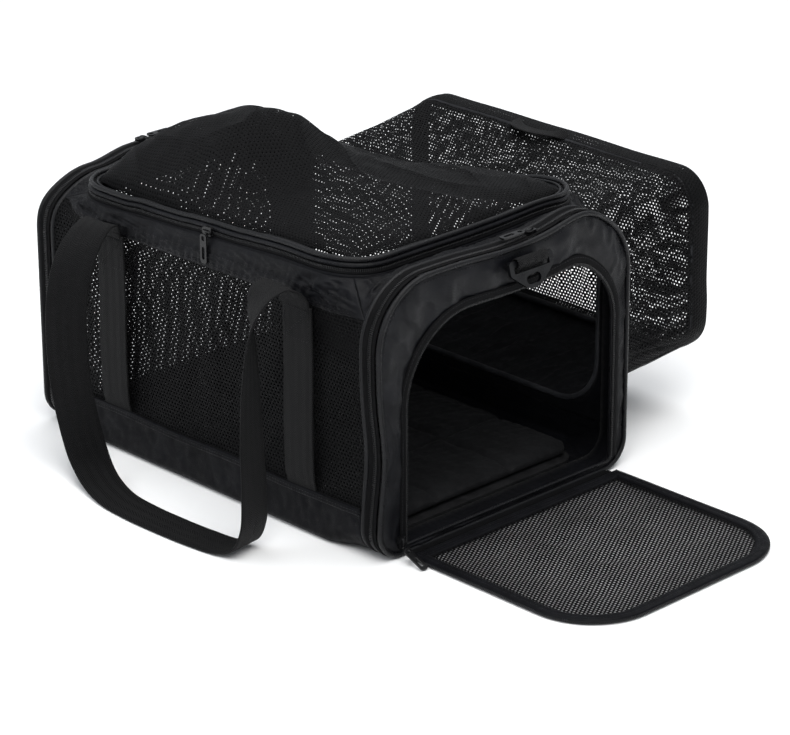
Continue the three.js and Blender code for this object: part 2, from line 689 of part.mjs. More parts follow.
// ---- shoulder strap rings ---------------------------------------------------------------------------
function ringPlateShape() {
  const half = 26;
  const foot = -24;
  const shape = new THREE.Shape();
  shape.moveTo(-half + 2, 3);
  shape.lineTo(-half, 1);
  shape.lineTo(-half, -7);
  shape.quadraticCurveTo(-half, -9.5, -22, -12);
  shape.lineTo(-10, foot + 2.5);
  shape.quadraticCurveTo(-7, foot, 0, foot);
  shape.quadraticCurveTo(7, foot, 10, foot + 2.5);
  shape.lineTo(22, -12);
  shape.quadraticCurveTo(half, -9.5, half, -7);
  shape.lineTo(half, 1);
  shape.lineTo(half - 2, 3);
  shape.closePath();
  shape.holes.push(roundedOutline(THREE.Path, -21, 21, -8, -2.4, 1, 1));
  shape.holes.push(roundedOutline(THREE.Path, -8.5, 8.5, -20.3, -11.8, 4.1, 4.1));
  return shape;
}

function buildStrapRing(end, way) {
  const thickness = 3;
  const plate = extrude(ringPlateShape(), -thickness / 2, thickness / 2, 5).applyMatrix4(TO_YZ);
  const mesh = add(`${end}_strap_ring`, plate, PLASTIC);
  mesh.rotation.y = -way * THREE.MathUtils.degToRad(RING_TILT);
  mesh.position.set(way * RING_BAR_X, RING_Y * way, RING_BAR_Z);
  const halfTab = 18;
  const loop = new THREE.Shape();
  loop.moveTo(-6.2, -12);
  loop.lineTo(-4.4, -12);
  loop.lineTo(-4.4, -3.6);
  loop.absarc(0, 0, 5, -Math.PI * 0.72, Math.PI * 0.72);
  loop.lineTo(-6.2, 7);
  loop.closePath();
  const bore = new THREE.Path();
  bore.absarc(0, 0, 3.6, 0, Math.PI * 2);
  loop.holes.push(bore);
  const tab = slabAcrossY(loop, -halfTab, halfTab, 6);
  const tabMesh = add(`${end}_strap_anchor`, tab, WEBBING);
  tabMesh.rotation.z = way > 0 ? 0 : Math.PI;
  tabMesh.position.set(way * RING_BAR_X, RING_Y * way, RING_BAR_Z);
}

// ---- zipper sliders ---------------------------------------------------------------------------------
// Built flat: the slider runs along X, its face is +Z and its pull tab lies towards -Y.
function sliderShape() {
  const shape = new THREE.Shape();
  shape.moveTo(-5.5, -2.2);
  shape.lineTo(-2, -4);
  shape.lineTo(5.5, -4);
  shape.lineTo(5.5, 4);
  shape.lineTo(-2, 4);
  shape.lineTo(-5.5, 2.2);
  shape.closePath();
  return shape;
}

function pullShape() {
  const shape = roundedOutline(THREE.Shape, -4, 4, -27, -0.6, 3.4, 2);
  shape.holes.push(roundedOutline(THREE.Path, -2, 2, -6.5, -2.6, 1.5, 1.5));
  return shape;
}

function buildSlider(prefix, matrix, pullMatrix) {
  const body = extrude(sliderShape(), 0, 4.6, 3).applyMatrix4(matrix);
  add(`${prefix}_slider`, body, METAL);
  const pull = extrude(pullShape(), -0.8, 0.8, 3).applyMatrix4(pullMatrix);
  add(`${prefix}_pull_tab`, pull, METAL);
}

function basis(origin, x, y, z) {
  return new THREE.Matrix4()
    .makeBasis(new THREE.Vector3(...x), new THREE.Vector3(...y), new THREE.Vector3(...z))
    .setPosition(...origin);
}

function buildSliders() {
  const flapSeam = (RIM_TOP + FLAP_BOTTOM) / 2;
  buildSlider(
    'roof',
    basis([8, RIM_NEAR - GAP, flapSeam + 2], [1, 0, 0], [0, 0, 1], [0, -1, 0]),
    basis([8, RIM_NEAR - 6.9, flapSeam + 1], [1, 0, 0], [0, 0, 1], [0, -1, 0]),
  );
  const gussetX = (GUSSET_START + GUSSET_END) / 2;
  const gussetTop = HEIGHT - 1 + GAP;
  for (const [end, way] of [['front', 1], ['rear', -1]]) {
    const turn = [0, way, 0];
    buildSlider(
      `${end}_gusset`,
      basis([way * gussetX, way * 36, gussetTop], turn, [-way, 0, 0], [0, 0, 1]),
      basis([way * gussetX, way * 29, gussetTop + 3.4], [-way, 0, 0], [0, way, 0], [0, 0, -1]),
    );
  }
  const doorSliderY = DOOR_NEAR - 5.2;
  const tilt = THREE.MathUtils.degToRad(23);
  buildSlider(
    'door',
    basis([222.8, doorSliderY, 16], [0, 0, 1], [0, -1, 0], [1, 0, 0]),
    basis(
      [228.6, doorSliderY, 12], [0, 1, 0],
      [-Math.cos(tilt), 0, Math.sin(tilt)], [Math.sin(tilt), 0, Math.cos(tilt)],
    ),
  );
}

buildFloor();
buildNearWindow();
buildEndFrame('front', 1);
buildEndFrame('rear', -1);
buildOpeningZipper();
buildRearWindow();
buildShoulders();
buildRoof();
buildRoofMesh();
buildDoor();
buildMouth();
buildTentWalls();
buildTentPanel();
buildHandle();
buildStrapRing('front', 1);
buildStrapRing('rear', -1);
buildSliders();

export default carrier;
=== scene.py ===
"""Pet transport carrier: the soft pieces, hardware, materials, studio and camera.

Lengths in the builders below are millimetres; make_mesh() turns them into metres.
+X is out of the front door, +Y towards the pull-out tent, +Z up.
"""
import math

import bpy
import numpy as np
from mathutils import Matrix, Vector


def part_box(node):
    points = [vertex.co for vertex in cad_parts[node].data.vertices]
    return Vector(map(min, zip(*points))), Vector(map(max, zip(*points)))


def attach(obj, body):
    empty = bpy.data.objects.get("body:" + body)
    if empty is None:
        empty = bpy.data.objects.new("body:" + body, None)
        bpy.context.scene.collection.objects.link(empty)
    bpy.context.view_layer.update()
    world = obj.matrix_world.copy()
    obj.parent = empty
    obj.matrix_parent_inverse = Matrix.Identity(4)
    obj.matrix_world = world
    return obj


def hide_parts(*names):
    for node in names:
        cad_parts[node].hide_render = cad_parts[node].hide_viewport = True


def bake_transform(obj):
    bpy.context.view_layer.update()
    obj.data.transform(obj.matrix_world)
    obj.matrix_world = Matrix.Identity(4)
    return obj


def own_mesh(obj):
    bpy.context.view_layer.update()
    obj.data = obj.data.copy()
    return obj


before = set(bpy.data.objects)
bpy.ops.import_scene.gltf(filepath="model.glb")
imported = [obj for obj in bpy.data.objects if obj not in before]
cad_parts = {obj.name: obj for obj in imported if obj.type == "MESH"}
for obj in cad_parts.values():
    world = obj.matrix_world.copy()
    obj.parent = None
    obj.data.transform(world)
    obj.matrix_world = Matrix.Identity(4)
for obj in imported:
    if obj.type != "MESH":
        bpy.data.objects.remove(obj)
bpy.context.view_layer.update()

MM = 0.001
HALF_LENGTH = 222.0
HALF_WIDTH = 152.5
HEIGHT = 246.0
TOP_RADIUS = 60.0
BOTTOM_RADIUS = 28.0
BODY_END = 196.7
BODY_REACH = 198.4
PIPE = 2.6
RIM_RADIUS = 42.0
RIM = dict(left=-181.0, right=185.0, bottom=-145.0, top=138.0, low=RIM_RADIUS, high=RIM_RADIUS)
MOUTH = dict(left=-188.0, right=188.0, bottom=40.0, top=228.0, low=50.0, high=50.0)
TENT = dict(left=-172.0, right=190.0, bottom=58.0, top=232.0, low=34.0, high=34.0)
END = dict(left=-HALF_WIDTH, right=HALF_WIDTH, bottom=0.0, top=HEIGHT, low=BOTTOM_RADIUS, high=TOP_RADIUS)
BAND_TOP = 211.0
BAND_LOW = 42.0
FABRIC = 1.4
FRAME_INSET = 1.5
CORNER_START, CORNER_RUN = 160.0, 36.0
GUSSET_X = 209.5
ARCH_BASE = 9.0
TENT_START, TENT_END = 151.0, 277.6
WEB_WIDTH = 36.0
COIL_PITCH, COIL_LENGTH = 1.7, 1.15
STITCH_PITCH, STITCH_SIZE = 3.4, (2.4, 0.5, 0.5)
BOX_STITCH_PITCH, BOX_STITCH_SIZE = 3.0, (2.2, 0.6, 0.5)
TUBE, LOOP = (True, True), (True, False)


# ---- small maths ----
def smooth(t):
    t = np.clip(t, 0.0, 1.0)
    return t * t * (3.0 - 2.0 * t)


def mix(a, b, t):
    return a + (b - a) * t


def bell(t):
    return np.exp(-t * t)


def rolling(a, b, seed, scale):
    """Smooth noise from -1 to 1 over two coordinates in mm, made of turned sine waves."""
    rng = np.random.RandomState(seed)
    total = np.zeros(np.broadcast(a, b).shape)
    for octave in range(5):
        angle, phase = rng.uniform(0, math.tau, 2)
        wave = scale * rng.uniform(0.6, 1.5) / (1.0 + 0.35 * octave)
        along = (a * math.cos(angle) + b * math.sin(angle)) * math.tau / wave
        total = total + np.sin(along + phase + 1.7 * total) / 3.0
    return np.clip(total, -1.5, 1.5)


def creased(a, b, seed, scale):
    """Sharp-topped folds from 0 to 1."""
    return 1.0 - np.minimum(np.abs(rolling(a, b, seed, scale)) * 1.6, 1.0)


def grid(nu, nv, start=0.0):
    """Two coordinates that each run from start to 1, over nu by nv points."""
    return np.meshgrid(np.linspace(start, 1.0, nu), np.linspace(start, 1.0, nv), indexing="ij")


def shrunk(edge, centre, across):
    """Copies of a closed outline, shrunk towards its centre to each share in across."""
    return centre + (edge[:, None, :] - centre) * across[None, :, None]


def normalised(v):
    return v / np.maximum(np.linalg.norm(v, axis=-1, keepdims=True), 1e-9)


def resampled(points, spacing, closed):
    """The path again, with points about one spacing apart along it."""
    path = np.vstack([points, points[:1]]) if closed else np.asarray(points, float)
    steps = np.linalg.norm(np.diff(path, axis=0), axis=1)
    keep = np.concatenate([[True], steps > 1e-6])
    path = path[keep]
    length = np.concatenate([[0.0], np.cumsum(np.linalg.norm(np.diff(path, axis=0), axis=1))])
    count = max(int(round(length[-1] / spacing)), 3)
    at = np.linspace(0.0, length[-1], count + 1)
    if closed:
        at = at[:-1]
    return np.stack([np.interp(at, length, path[:, k]) for k in range(path.shape[1])], axis=1)


# ---- outlines in a plane ----
def corner(cx, cy, radius, start, steps=24):
    """A quarter circle, counter-clockwise from the angle start."""
    angle = np.linspace(start, start + math.pi / 2, steps)
    return np.stack([cx + radius * np.cos(angle), cy + radius * np.sin(angle)], axis=1)


def rounded(box, inset=0.0, spacing=3.0):
    """A rounded rectangle as (points, outward normals), counter-clockwise from the middle of its bottom."""
    left, right = box["left"] + inset, box["right"] - inset
    bottom, top = box["bottom"] + inset, box["top"] - inset
    low, high = box["low"] - inset, box["high"] - inset
    middle = np.array([[(left + right) / 2, bottom]])
    points = np.vstack([
        middle,
        corner(right - low, bottom + low, low, -math.pi / 2),
        corner(right - high, top - high, high, 0),
        corner(left + high, top - high, high, math.pi / 2),
        corner(left + low, bottom + low, low, math.pi),
    ])
    points = resampled(points, spacing, True)
    return points, outward(points)


def outward(points):
    """Unit normals of a closed counter-clockwise outline, pointing out of it."""
    ahead = np.roll(points, -1, axis=0) - np.roll(points, 1, axis=0)
    return normalised(np.stack([ahead[:, 1], -ahead[:, 0]], axis=1))


def arch_segments(grow, base):
    near, far, top = -120.0 - grow, 130.0 + grow, 204.0 + grow
    near_radius, far_radius = 74.0 + grow, 58.0 + grow
    return [
        np.array([[near, base], [far, base]]),
        np.array([[far, base], [far, top - far_radius]]),
        corner(far - far_radius, top - far_radius, far_radius, 0),
        np.array([[far - far_radius, top], [near + near_radius, top]]),
        corner(near + near_radius, top - near_radius, near_radius, math.pi / 2),
        np.array([[near, top - near_radius], [near, base]]),
    ]


def frame_segments(inset):
    near, far, top = -HALF_WIDTH + inset, HALF_WIDTH - inset, HEIGHT - inset
    low, high = BOTTOM_RADIUS - inset, TOP_RADIUS - inset
    lower_far = corner(far - low, inset + low, low, -math.pi / 2)
    lower_near = corner(near + low, inset + low, low, math.pi)
    half = len(lower_far) // 2
    return [
        np.vstack([lower_near[half:], [[0.0, inset]], lower_far[:half + 1]]),
        np.vstack([lower_far[half:], [[far, top - high]]]),
        corner(far - high, top - high, high, 0),
        np.array([[far - high, top], [near + high, top]]),
        corner(near + high, top - high, high, math.pi / 2),
        np.vstack([[[near, top - high]], lower_near[:half + 1]]),
    ]


def evenly(segments, counts):
    """Each segment resampled to its own count, joined as one closed loop."""
    parts = []
    for segment, count in zip(segments, counts):
        length = np.concatenate([[0], np.cumsum(np.linalg.norm(np.diff(segment, axis=0), axis=1))])
        at = np.linspace(0, length[-1], count + 1)[:-1]
        parts.append(np.stack([np.interp(at, length, segment[:, k]) for k in range(2)], axis=1))
    return np.vstack(parts)


def at_end(points, x):
    return np.stack([np.broadcast_to(x, points[..., 0].shape), points[..., 0], points[..., 1]], axis=-1)


def at_side(points, y):
    return np.stack([points[..., 0], np.broadcast_to(y, points[..., 0].shape), points[..., 1]], axis=-1)


def at_height(points, z):
    return np.stack([points[..., 0], points[..., 1], np.broadcast_to(z, points[..., 0].shape)], axis=-1)


# ---- meshes ----
def make_mesh(name, points, faces, corners=None):
    mesh = bpy.data.meshes.new(name)
    mesh.from_pydata((np.asarray(points, float).reshape(-1, 3) * MM).tolist(), [], [list(f) for f in faces])
    if corners is not None:
        layer = mesh.uv_layers.new(name="UVMap")
        layer.data.foreach_set("uv", np.asarray(corners, np.float32).ravel())
    mesh.polygons.foreach_set("use_smooth", [True] * len(mesh.polygons))
    mesh.update()
    obj = bpy.data.objects.new(name, mesh)
    bpy.context.scene.collection.objects.link(obj)
    return obj


def arc_lengths(points, axis, wrap):
    closed = np.concatenate([points, np.take(points, [0], axis=axis)], axis=axis) if wrap else points
    steps = np.linalg.norm(np.diff(closed, axis=axis), axis=-1)
    mean = steps.mean(axis=1 - axis)
    return np.concatenate([[0.0], np.cumsum(mean)])


def travelled(path):
    """The distance along an open path at each of its points."""
    return np.concatenate([[0.0], np.cumsum(np.linalg.norm(np.diff(path, axis=0), axis=1))])


def lattice(name, points, wrap_u=False, wrap_v=False, flip=False):
    """A smooth quad surface over points (u, v, 3). Its UV map is in millimetres along u and v."""
    nu, nv = points.shape[:2]
    i, j = np.meshgrid(
        np.arange(nu if wrap_u else nu - 1), np.arange(nv if wrap_v else nv - 1), indexing="ij"
    )
    i, j = i.ravel(), j.ravel()
    order = [(0, 0), (1, 0), (1, 1), (0, 1)]
    if flip:
        order = order[::-1]
    faces = np.stack([((i + a) % nu) * nv + (j + b) % nv for a, b in order], axis=1)
    su, sv = arc_lengths(points, 0, wrap_u), arc_lengths(points, 1, wrap_v)
    corners = np.stack([np.stack([su[i + a], sv[j + b]], axis=1) for a, b in order], axis=1)
    return make_mesh(name, points, faces.tolist(), corners)


def surface_normals(points):
    return normalised(np.cross(np.gradient(points, axis=0), np.gradient(points, axis=1)))


def swept(path, out, axis, profile):
    """Points of a profile [(outwards, along axis)] carried along a path."""
    profile = np.asarray(profile, float)
    return (
        path[:, None, :]
        + out[:, None, :] * profile[None, :, 0, None]
        + np.asarray(axis, float).reshape(1, 1, 3) * profile[None, :, 1, None]
    )


def circle(radius, sides):
    angle = np.arange(sides) * math.tau / sides
    return radius * np.stack([np.cos(angle), np.sin(angle)], axis=1)


def path_frames(path, closed):
    if closed:
        along = np.roll(path, -1, axis=0) - np.roll(path, 1, axis=0)
    else:
        along = np.gradient(path, axis=0)
    return normalised(along)


def beads(name, path, up, closed, pitch, size):
    """Small rounded bars of size (along, across, high) laid across a path, one every pitch."""
    both = resampled(np.hstack([path, up]), pitch, closed)
    centre, up = both[:, :3], normalised(both[:, 3:])
    along = path_frames(centre, closed)
    across = normalised(np.cross(up, along))
    up = np.cross(along, across)
    ring = np.array([[math.cos(a), math.sin(a)] for a in np.arange(6) * math.tau / 6])
    stations = [(-1.0, 0.35), (-0.8, 0.9), (0.8, 0.9), (1.0, 0.35)]
    local = np.array([[r[0] * s, end, r[1] * s] for end, s in stations for r in ring])
    local = local * np.array(size) / 2.0
    points = (
        centre[:, None, :]
        + along[:, None, :] * local[None, :, 0, None]
        + across[:, None, :] * local[None, :, 1, None]
        + up[:, None, :] * local[None, :, 2, None]
    )
    block = []
    for s in range(3):
        for k in range(6):
            a, b = s * 6 + k, s * 6 + (k + 1) % 6
            block.append((a, b, b + 6, a + 6))
    caps = [(5, 4, 3, 2, 1, 0), tuple(range(18, 24))]
    faces = []
    for n in range(len(centre)):
        base = n * len(local)
        faces += [tuple(base + v for v in f) for f in block + caps]
    return make_mesh(name, points, faces)


def bent(points, turn):
    """The route of a strap through points, as three.js draws a centripetal Catmull-Rom curve."""
    p = np.asarray(points, float)
    p = np.vstack([2 * p[0] - p[1], p, 2 * p[-1] - p[-2]])
    where = np.clip(turn, 0, len(points) - 1)
    low = np.minimum(where.astype(int), len(points) - 2)
    t = (where - low)[:, None]
    a, b, c, d = (p[low + k] for k in range(4))
    gap = [
        np.maximum(np.linalg.norm(y - x, axis=1, keepdims=True) ** 0.5, 1e-4)
        for x, y in ((a, b), (b, c), (c, d))
    ]
    start = ((b - a) / gap[0] - (c - a) / (gap[0] + gap[1]) + (c - b) / gap[1]) * gap[1]
    end = ((c - b) / gap[1] - (d - b) / (gap[1] + gap[2]) + (d - c) / gap[2]) * gap[1]
    return b + start * t + (3 * (c - b) - 2 * start - end) * t**2 + (2 * (b - c) + start + end) * t**3


def strap_points(route, width, thickness, steps):
    """A webbing strap along route rows [x, y, z, heading of its width in degrees]."""
    route = np.asarray(route, float)
    turn = np.linspace(0, len(route) - 1, steps)
    centre = bent(route[:, :3], turn)
    along = path_frames(centre, False)
    heading = np.radians(np.interp(turn, np.arange(len(route)), route[:, 3]))
    across = np.stack([np.cos(heading), np.sin(heading), np.zeros_like(heading)], axis=1)
    across = normalised(across - along * (across * along).sum(axis=1, keepdims=True))
    face = np.cross(along, across)
    half, edge = width / 2, thickness / 2
    flat = [(-half + edge, -1), (-half / 2, -1), (0, -1), (half / 2, -1), (half - edge, -1)]
    section = [(a, b * edge) for a, b in flat]
    section += [(half - 0.25 * edge, -0.6 * edge), (half, 0.0), (half - 0.25 * edge, 0.6 * edge)]
    section += [(-a, edge) for a, b in flat]
    section += [(-half + 0.25 * edge, 0.6 * edge), (-half, 0.0), (-half + 0.25 * edge, -0.6 * edge)]
    section = np.array(section)
    return (
        centre[:, None, :]
        + across[:, None, :] * section[None, :, 0, None]
        + face[:, None, :] * section[None, :, 1, None]
    )


def capped(obj, first, last):
    """Closes the two ends of a strap whose first and last rings have these vertex numbers."""
    mesh = obj.data
    extra = bpy.data.meshes.new(mesh.name)
    verts = [v.co[:] for v in mesh.vertices]
    faces = [list(p.vertices) for p in mesh.polygons] + [list(first)[::-1], list(last)]
    uv = [list(d.uv) for d in mesh.uv_layers[0].data] + [[0.0, 0.0]] * (len(first) + len(last))
    extra.from_pydata(verts, [], faces)
    extra.uv_layers.new(name="UVMap").data.foreach_set("uv", np.array(uv, np.float32).ravel())
    extra.polygons.foreach_set("use_smooth", [True] * len(extra.polygons))
    extra.update()
    obj.data = extra
    return obj


def joined(name, objects):
    """Several meshes as one object."""
    bpy.ops.object.select_all(action="DESELECT")
    for obj in objects:
        obj.select_set(True)
    bpy.context.view_layer.objects.active = objects[0]
    bpy.ops.object.join()
    objects[0].name = name
    objects[0].data.name = name
    return objects[0]


def solidify(obj, thickness, offset=-1.0):
    modifier = obj.modifiers.new("Thickness", "SOLIDIFY")
    modifier.thickness = thickness * MM
    modifier.offset = offset
    return obj


def bevelled(obj, width, segments=2):
    modifier = obj.modifiers.new("Edges", "BEVEL")
    modifier.width = width * MM
    modifier.segments = segments
    modifier.limit_method = "ANGLE"
    modifier.angle_limit = math.radians(35)
    return obj


def piece(obj, material, body, slot, *nodes):
    """Gives a mesh its material and body, and hides the CAD nodes that it replaces. Its slot is not used."""
    obj.data.materials.clear()
    obj.data.materials.append(material)
    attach(obj, body)
    if nodes:
        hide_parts(*nodes)
    return obj


def cloth(
    name, points, material, body, slot, *nodes, wrap=(False, False), flip=False, thick=0.0, offset=0.0
):
    """A lattice with its finish and its body. An open sheet is given its thickness."""
    obj = lattice(name, points, *wrap, flip=flip)
    if thick:
        solidify(obj, thick, offset)
    return piece(obj, material, body, slot, *nodes)


def stitches(name, line, up, closed, body, slot="oxford_fabric", pitch=STITCH_PITCH, size=STITCH_SIZE):
    return piece(beads(name, line, up, closed, pitch, size), THREAD, body, slot)


def coil(name, line, up, closed, body, width, height):
    """The teeth of a zipper."""
    teeth = beads(name, line, up, closed, COIL_PITCH, (COIL_LENGTH, width, height))
    return piece(teeth, COIL, body, "zipper_tape")


def repaint(node, material):
    """A CAD node that keeps its shape gets its finish."""
    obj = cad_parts[node]
    obj.data.materials.clear()
    obj.data.materials.append(material)
    return obj


# ---- materials ----
class Nodes:
    """A short way to write shader nodes."""

    def __init__(self, name):
        self.material = bpy.data.materials.new(name)
        self.material.use_nodes = True
        self.tree = self.material.node_tree
        self.shader = self.tree.nodes["Principled BSDF"]

    def link(self, value, socket):
        if hasattr(value, "is_output"):
            self.tree.links.new(value, socket)
        else:
            socket.default_value = value

    def math(self, operation, a, b=0.0):
        node = self.tree.nodes.new("ShaderNodeMath")
        node.operation = operation
        self.link(a, node.inputs[0])
        if len(node.inputs) > 1:
            self.link(b, node.inputs[1])
        return node.outputs[0]

    def uv(self):
        node = self.tree.nodes.new("ShaderNodeUVMap")
        node.uv_map = "UVMap"
        split = self.tree.nodes.new("ShaderNodeSeparateXYZ")
        self.link(node.outputs["UV"], split.inputs[0])
        return split.outputs[0], split.outputs[1]

    def noise(self, scale, detail=3.0):
        coordinates = self.tree.nodes.new("ShaderNodeTexCoord")
        node = self.tree.nodes.new("ShaderNodeTexNoise")
        node.inputs["Scale"].default_value = scale
        node.inputs["Detail"].default_value = detail
        node.inputs["Roughness"].default_value = 0.55
        self.link(coordinates.outputs["Object"], node.inputs["Vector"])
        return node.outputs["Fac"]

    def ranged(self, value, low, high, to_low=0.0, to_high=1.0):
        node = self.tree.nodes.new("ShaderNodeMapRange")
        node.interpolation_type = "SMOOTHSTEP"
        for socket, number in zip(node.inputs[1:5], (low, high, to_low, to_high)):
            socket.default_value = number
        self.link(value, node.inputs[0])
        return node.outputs[0]

    def blend(self, fac, a, b):
        node = self.tree.nodes.new("ShaderNodeMix")
        node.data_type = "RGBA"
        self.link(fac, node.inputs["Factor"])
        node.inputs["A"].default_value = (*a, 1.0)
        node.inputs["B"].default_value = (*b, 1.0)
        return node.outputs["Result"]

    def bump(self, height, distance, strength, normal=None):
        node = self.tree.nodes.new("ShaderNodeBump")
        node.inputs["Strength"].default_value = strength
        node.inputs["Distance"].default_value = distance
        self.link(height, node.inputs["Height"])
        if normal is not None:
            self.link(normal, node.inputs["Normal"])
        return node.outputs["Normal"]

    def wave(self, along, period):
        """A sine of a coordinate in mm, from -1 to 1."""
        return self.math("SINE", self.math("MULTIPLY", along, math.tau / period))

    def finish(self, **values):
        for key, value in values.items():
            self.link(value, self.shader.inputs[key.replace("_", " ")])
        return self.material


def oxford(name, dark, light, rough=(0.42, 0.6), weave=0.9, crumple=0.0006, gloss=0.16):
    """A tight plain weave with a satin face."""
    n = Nodes(name)
    u, v = n.uv()
    cloth = n.math("MULTIPLY", n.wave(u, weave), n.wave(v, weave))
    slub = n.noise(160.0, 2.0)
    soft = n.noise(38.0, 4.0)
    weave_normal = n.bump(n.math("ADD", cloth, n.math("MULTIPLY", slub, 0.8)), 0.00006, 0.8)
    normal = n.bump(soft, crumple, 0.9, weave_normal)
    return n.finish(
        Base_Color=n.blend(n.ranged(soft, 0.35, 0.7), dark, light),
        Roughness=n.ranged(slub, 0.3, 0.7, rough[0], rough[1]),
        Specular_IOR_Level=gloss,
        Sheen_Weight=0.02,
        Sheen_Roughness=0.4,
        Normal=normal,
    )


NET_PITCH, NET_SOFT_EDGE = 3.7, 0.05


def netting(name, hole):
    """Knitted mesh: round holes in staggered rows, cut out by the material."""
    n = Nodes(name)
    u, v = n.uv()
    rows = math.sqrt(3.0)
    across = n.math("DIVIDE", u, NET_PITCH)
    up = n.math("DIVIDE", v, NET_PITCH * rows)

    def nearest(shift):
        x = n.math("SUBTRACT", n.math("FRACT", n.math("ADD", across, shift)), 0.5)
        y = n.math("MULTIPLY", n.math("SUBTRACT", n.math("FRACT", n.math("ADD", up, shift)), 0.5), rows)
        return n.math("ADD", n.math("MULTIPLY", x, x), n.math("MULTIPLY", y, y))

    squared = n.math("MINIMUM", nearest(0.0), nearest(0.5))
    distance = n.math("SQRT", squared)
    solid = n.ranged(distance, hole - NET_SOFT_EDGE, hole + NET_SOFT_EDGE)
    yarn = n.ranged(distance, hole, 0.6)
    thread = n.math("ADD", yarn, n.math("MULTIPLY", n.wave(n.math("ADD", u, v), 0.7), 0.12))
    return n.finish(
        Base_Color=n.blend(n.noise(60.0), (0.0013, 0.0013, 0.0016), (0.0026, 0.0026, 0.0031)),
        Roughness=0.6,
        Alpha=solid,
        Specular_IOR_Level=0.09,
        Normal=n.bump(thread, 0.0006, 0.8),
    )


def webbing(name, dark, light):
    """Woven strap: chevron twill across its width."""
    n = Nodes(name)
    u, v = n.uv()
    zigzag = n.math("ABSOLUTE", n.math("SUBTRACT", n.math("FRACT", n.math("DIVIDE", v, 9.0)), 0.5))
    ribs = n.wave(n.math("ADD", u, n.math("MULTIPLY", zigzag, 9.0)), 2.1)
    cords = n.wave(v, 1.1)
    height = n.math("ADD", ribs, n.math("MULTIPLY", cords, 0.35))
    fuzz = n.noise(300.0, 2.0)
    normal = n.bump(n.math("ADD", height, n.math("MULTIPLY", fuzz, 0.6)), 0.0004, 1.0)
    tone = n.math("ADD", n.math("MULTIPLY", ribs, 0.3), n.noise(45.0))
    return n.finish(
        Base_Color=n.blend(n.ranged(tone, 0.2, 0.85), dark, light),
        Roughness=0.62,
        Specular_IOR_Level=0.13,
        Sheen_Weight=0.02,
        Sheen_Roughness=0.5,
        Normal=normal,
    )


def zipper_tape(name, dark, light):
    n = Nodes(name)
    u, v = n.uv()
    knit = n.math("MULTIPLY", n.wave(n.math("ADD", u, v), 1.3), n.wave(n.math("SUBTRACT", u, v), 1.3))
    return n.finish(
        Base_Color=n.blend(n.ranged(n.noise(80.0), 0.3, 0.7), dark, light),
        Roughness=0.7,
        Specular_IOR_Level=0.1,
        Normal=n.bump(knit, 0.00015, 0.8),
    )


def moulded(name, dark, light, rough, grain=900.0, metal=0.0, gloss=0.3):
    n = Nodes(name)
    grains = n.noise(grain, 2.0)
    broad = n.noise(60.0, 3.0)
    return n.finish(
        Base_Color=n.blend(n.ranged(broad, 0.35, 0.65), dark, light),
        Roughness=n.ranged(broad, 0.3, 0.7, rough[0], rough[1]),
        Metallic=metal,
        Specular_IOR_Level=gloss,
        Normal=n.bump(grains, 0.00004, 0.7),
    )


OXFORD = oxford("oxford_fabric", (0.0014, 0.0015, 0.0024), (0.0028, 0.0030, 0.0043), gloss=0.08)
OXFORD_CREASED = oxford(
    "oxford_creased", (0.0014, 0.0015, 0.0024), (0.0030, 0.0032, 0.0046), (0.36, 0.52), crumple=0.0014,
    gloss=0.13)
OXFORD_SATIN = oxford(
    "oxford_satin", (0.0015, 0.0017, 0.0028), (0.0032, 0.0035, 0.0052), (0.3, 0.44), gloss=0.17)
OXFORD_PIPING = oxford(
    "piping_fabric", (0.0014, 0.0015, 0.0023), (0.0028, 0.0030, 0.0042), (0.26, 0.4), 0.7, 0.0003, 0.22)
# The wire sleeve's cloth is lighter than the rest: a painted highlight along the tent's wire.
SLEEVE_PAINTED_HIGHLIGHT = oxford("wire_sleeve_painted_highlight", (0.006, 0.0063, 0.0078), (0.014, 0.0145, 0.017), gloss=0.2)
BINDING = oxford("grey_binding", (0.014, 0.0145, 0.017), (0.03, 0.031, 0.035), gloss=0.2)
NET = netting("mesh_netting", 0.235)
NET_FINE = netting("mesh_netting_fine", 0.215)
NET_DENSE = netting("mesh_netting_dense", 0.145)
WEB = webbing("webbing_strap", (0.0012, 0.0012, 0.0016), (0.0036, 0.0036, 0.0043))
# A darker copy of the strap webbing, for the near side straps: painted shade.
WEB_PAINTED_SHADE = webbing("webbing_side_strap_painted_shade", (0.0007, 0.0007, 0.0010), (0.0022, 0.0022, 0.0027))
TAPE = zipper_tape("zipper_tape", (0.0012, 0.0012, 0.0016), (0.0024, 0.0024, 0.0029))
COIL = moulded("zipper_coil", (0.0024, 0.0024, 0.003), (0.005, 0.005, 0.0058), (0.2, 0.32), gloss=0.4)
PLASTIC = moulded(
    "plastic_hardware", (0.0022, 0.0023, 0.003), (0.0042, 0.0044, 0.0052), (0.24, 0.36), gloss=0.34)
METAL = moulded("metal_hardware", (0.003, 0.003, 0.0034), (0.007, 0.007, 0.0076), (0.18, 0.28), 300.0)
STEEL = moulded("spring_wire", (0.45, 0.45, 0.46), (0.6, 0.6, 0.6), (0.25, 0.4), 500.0, 1.0, gloss=0.5)
BOARD = moulded("base_board", (0.006, 0.006, 0.0065), (0.010, 0.010, 0.011), (0.5, 0.65))
THREAD = oxford("sewing_thread", (0.005, 0.005, 0.006), (0.014, 0.014, 0.017), (0.4, 0.6), 0.5, 0.0001)
PAD = oxford("base_pad", (0.0035, 0.0036, 0.0042), (0.0065, 0.0067, 0.0075), (0.7, 0.9), 1.4, 0.0009)


# ---- how the cloth lies ----
NEAR_SLUMP, FAR_SLUMP = 13.0, 34.0


def far_share(y):
    """From 0 at the roof opening's near edge to 1 at its far edge."""
    return smooth((y + 145.0) / 283.0)


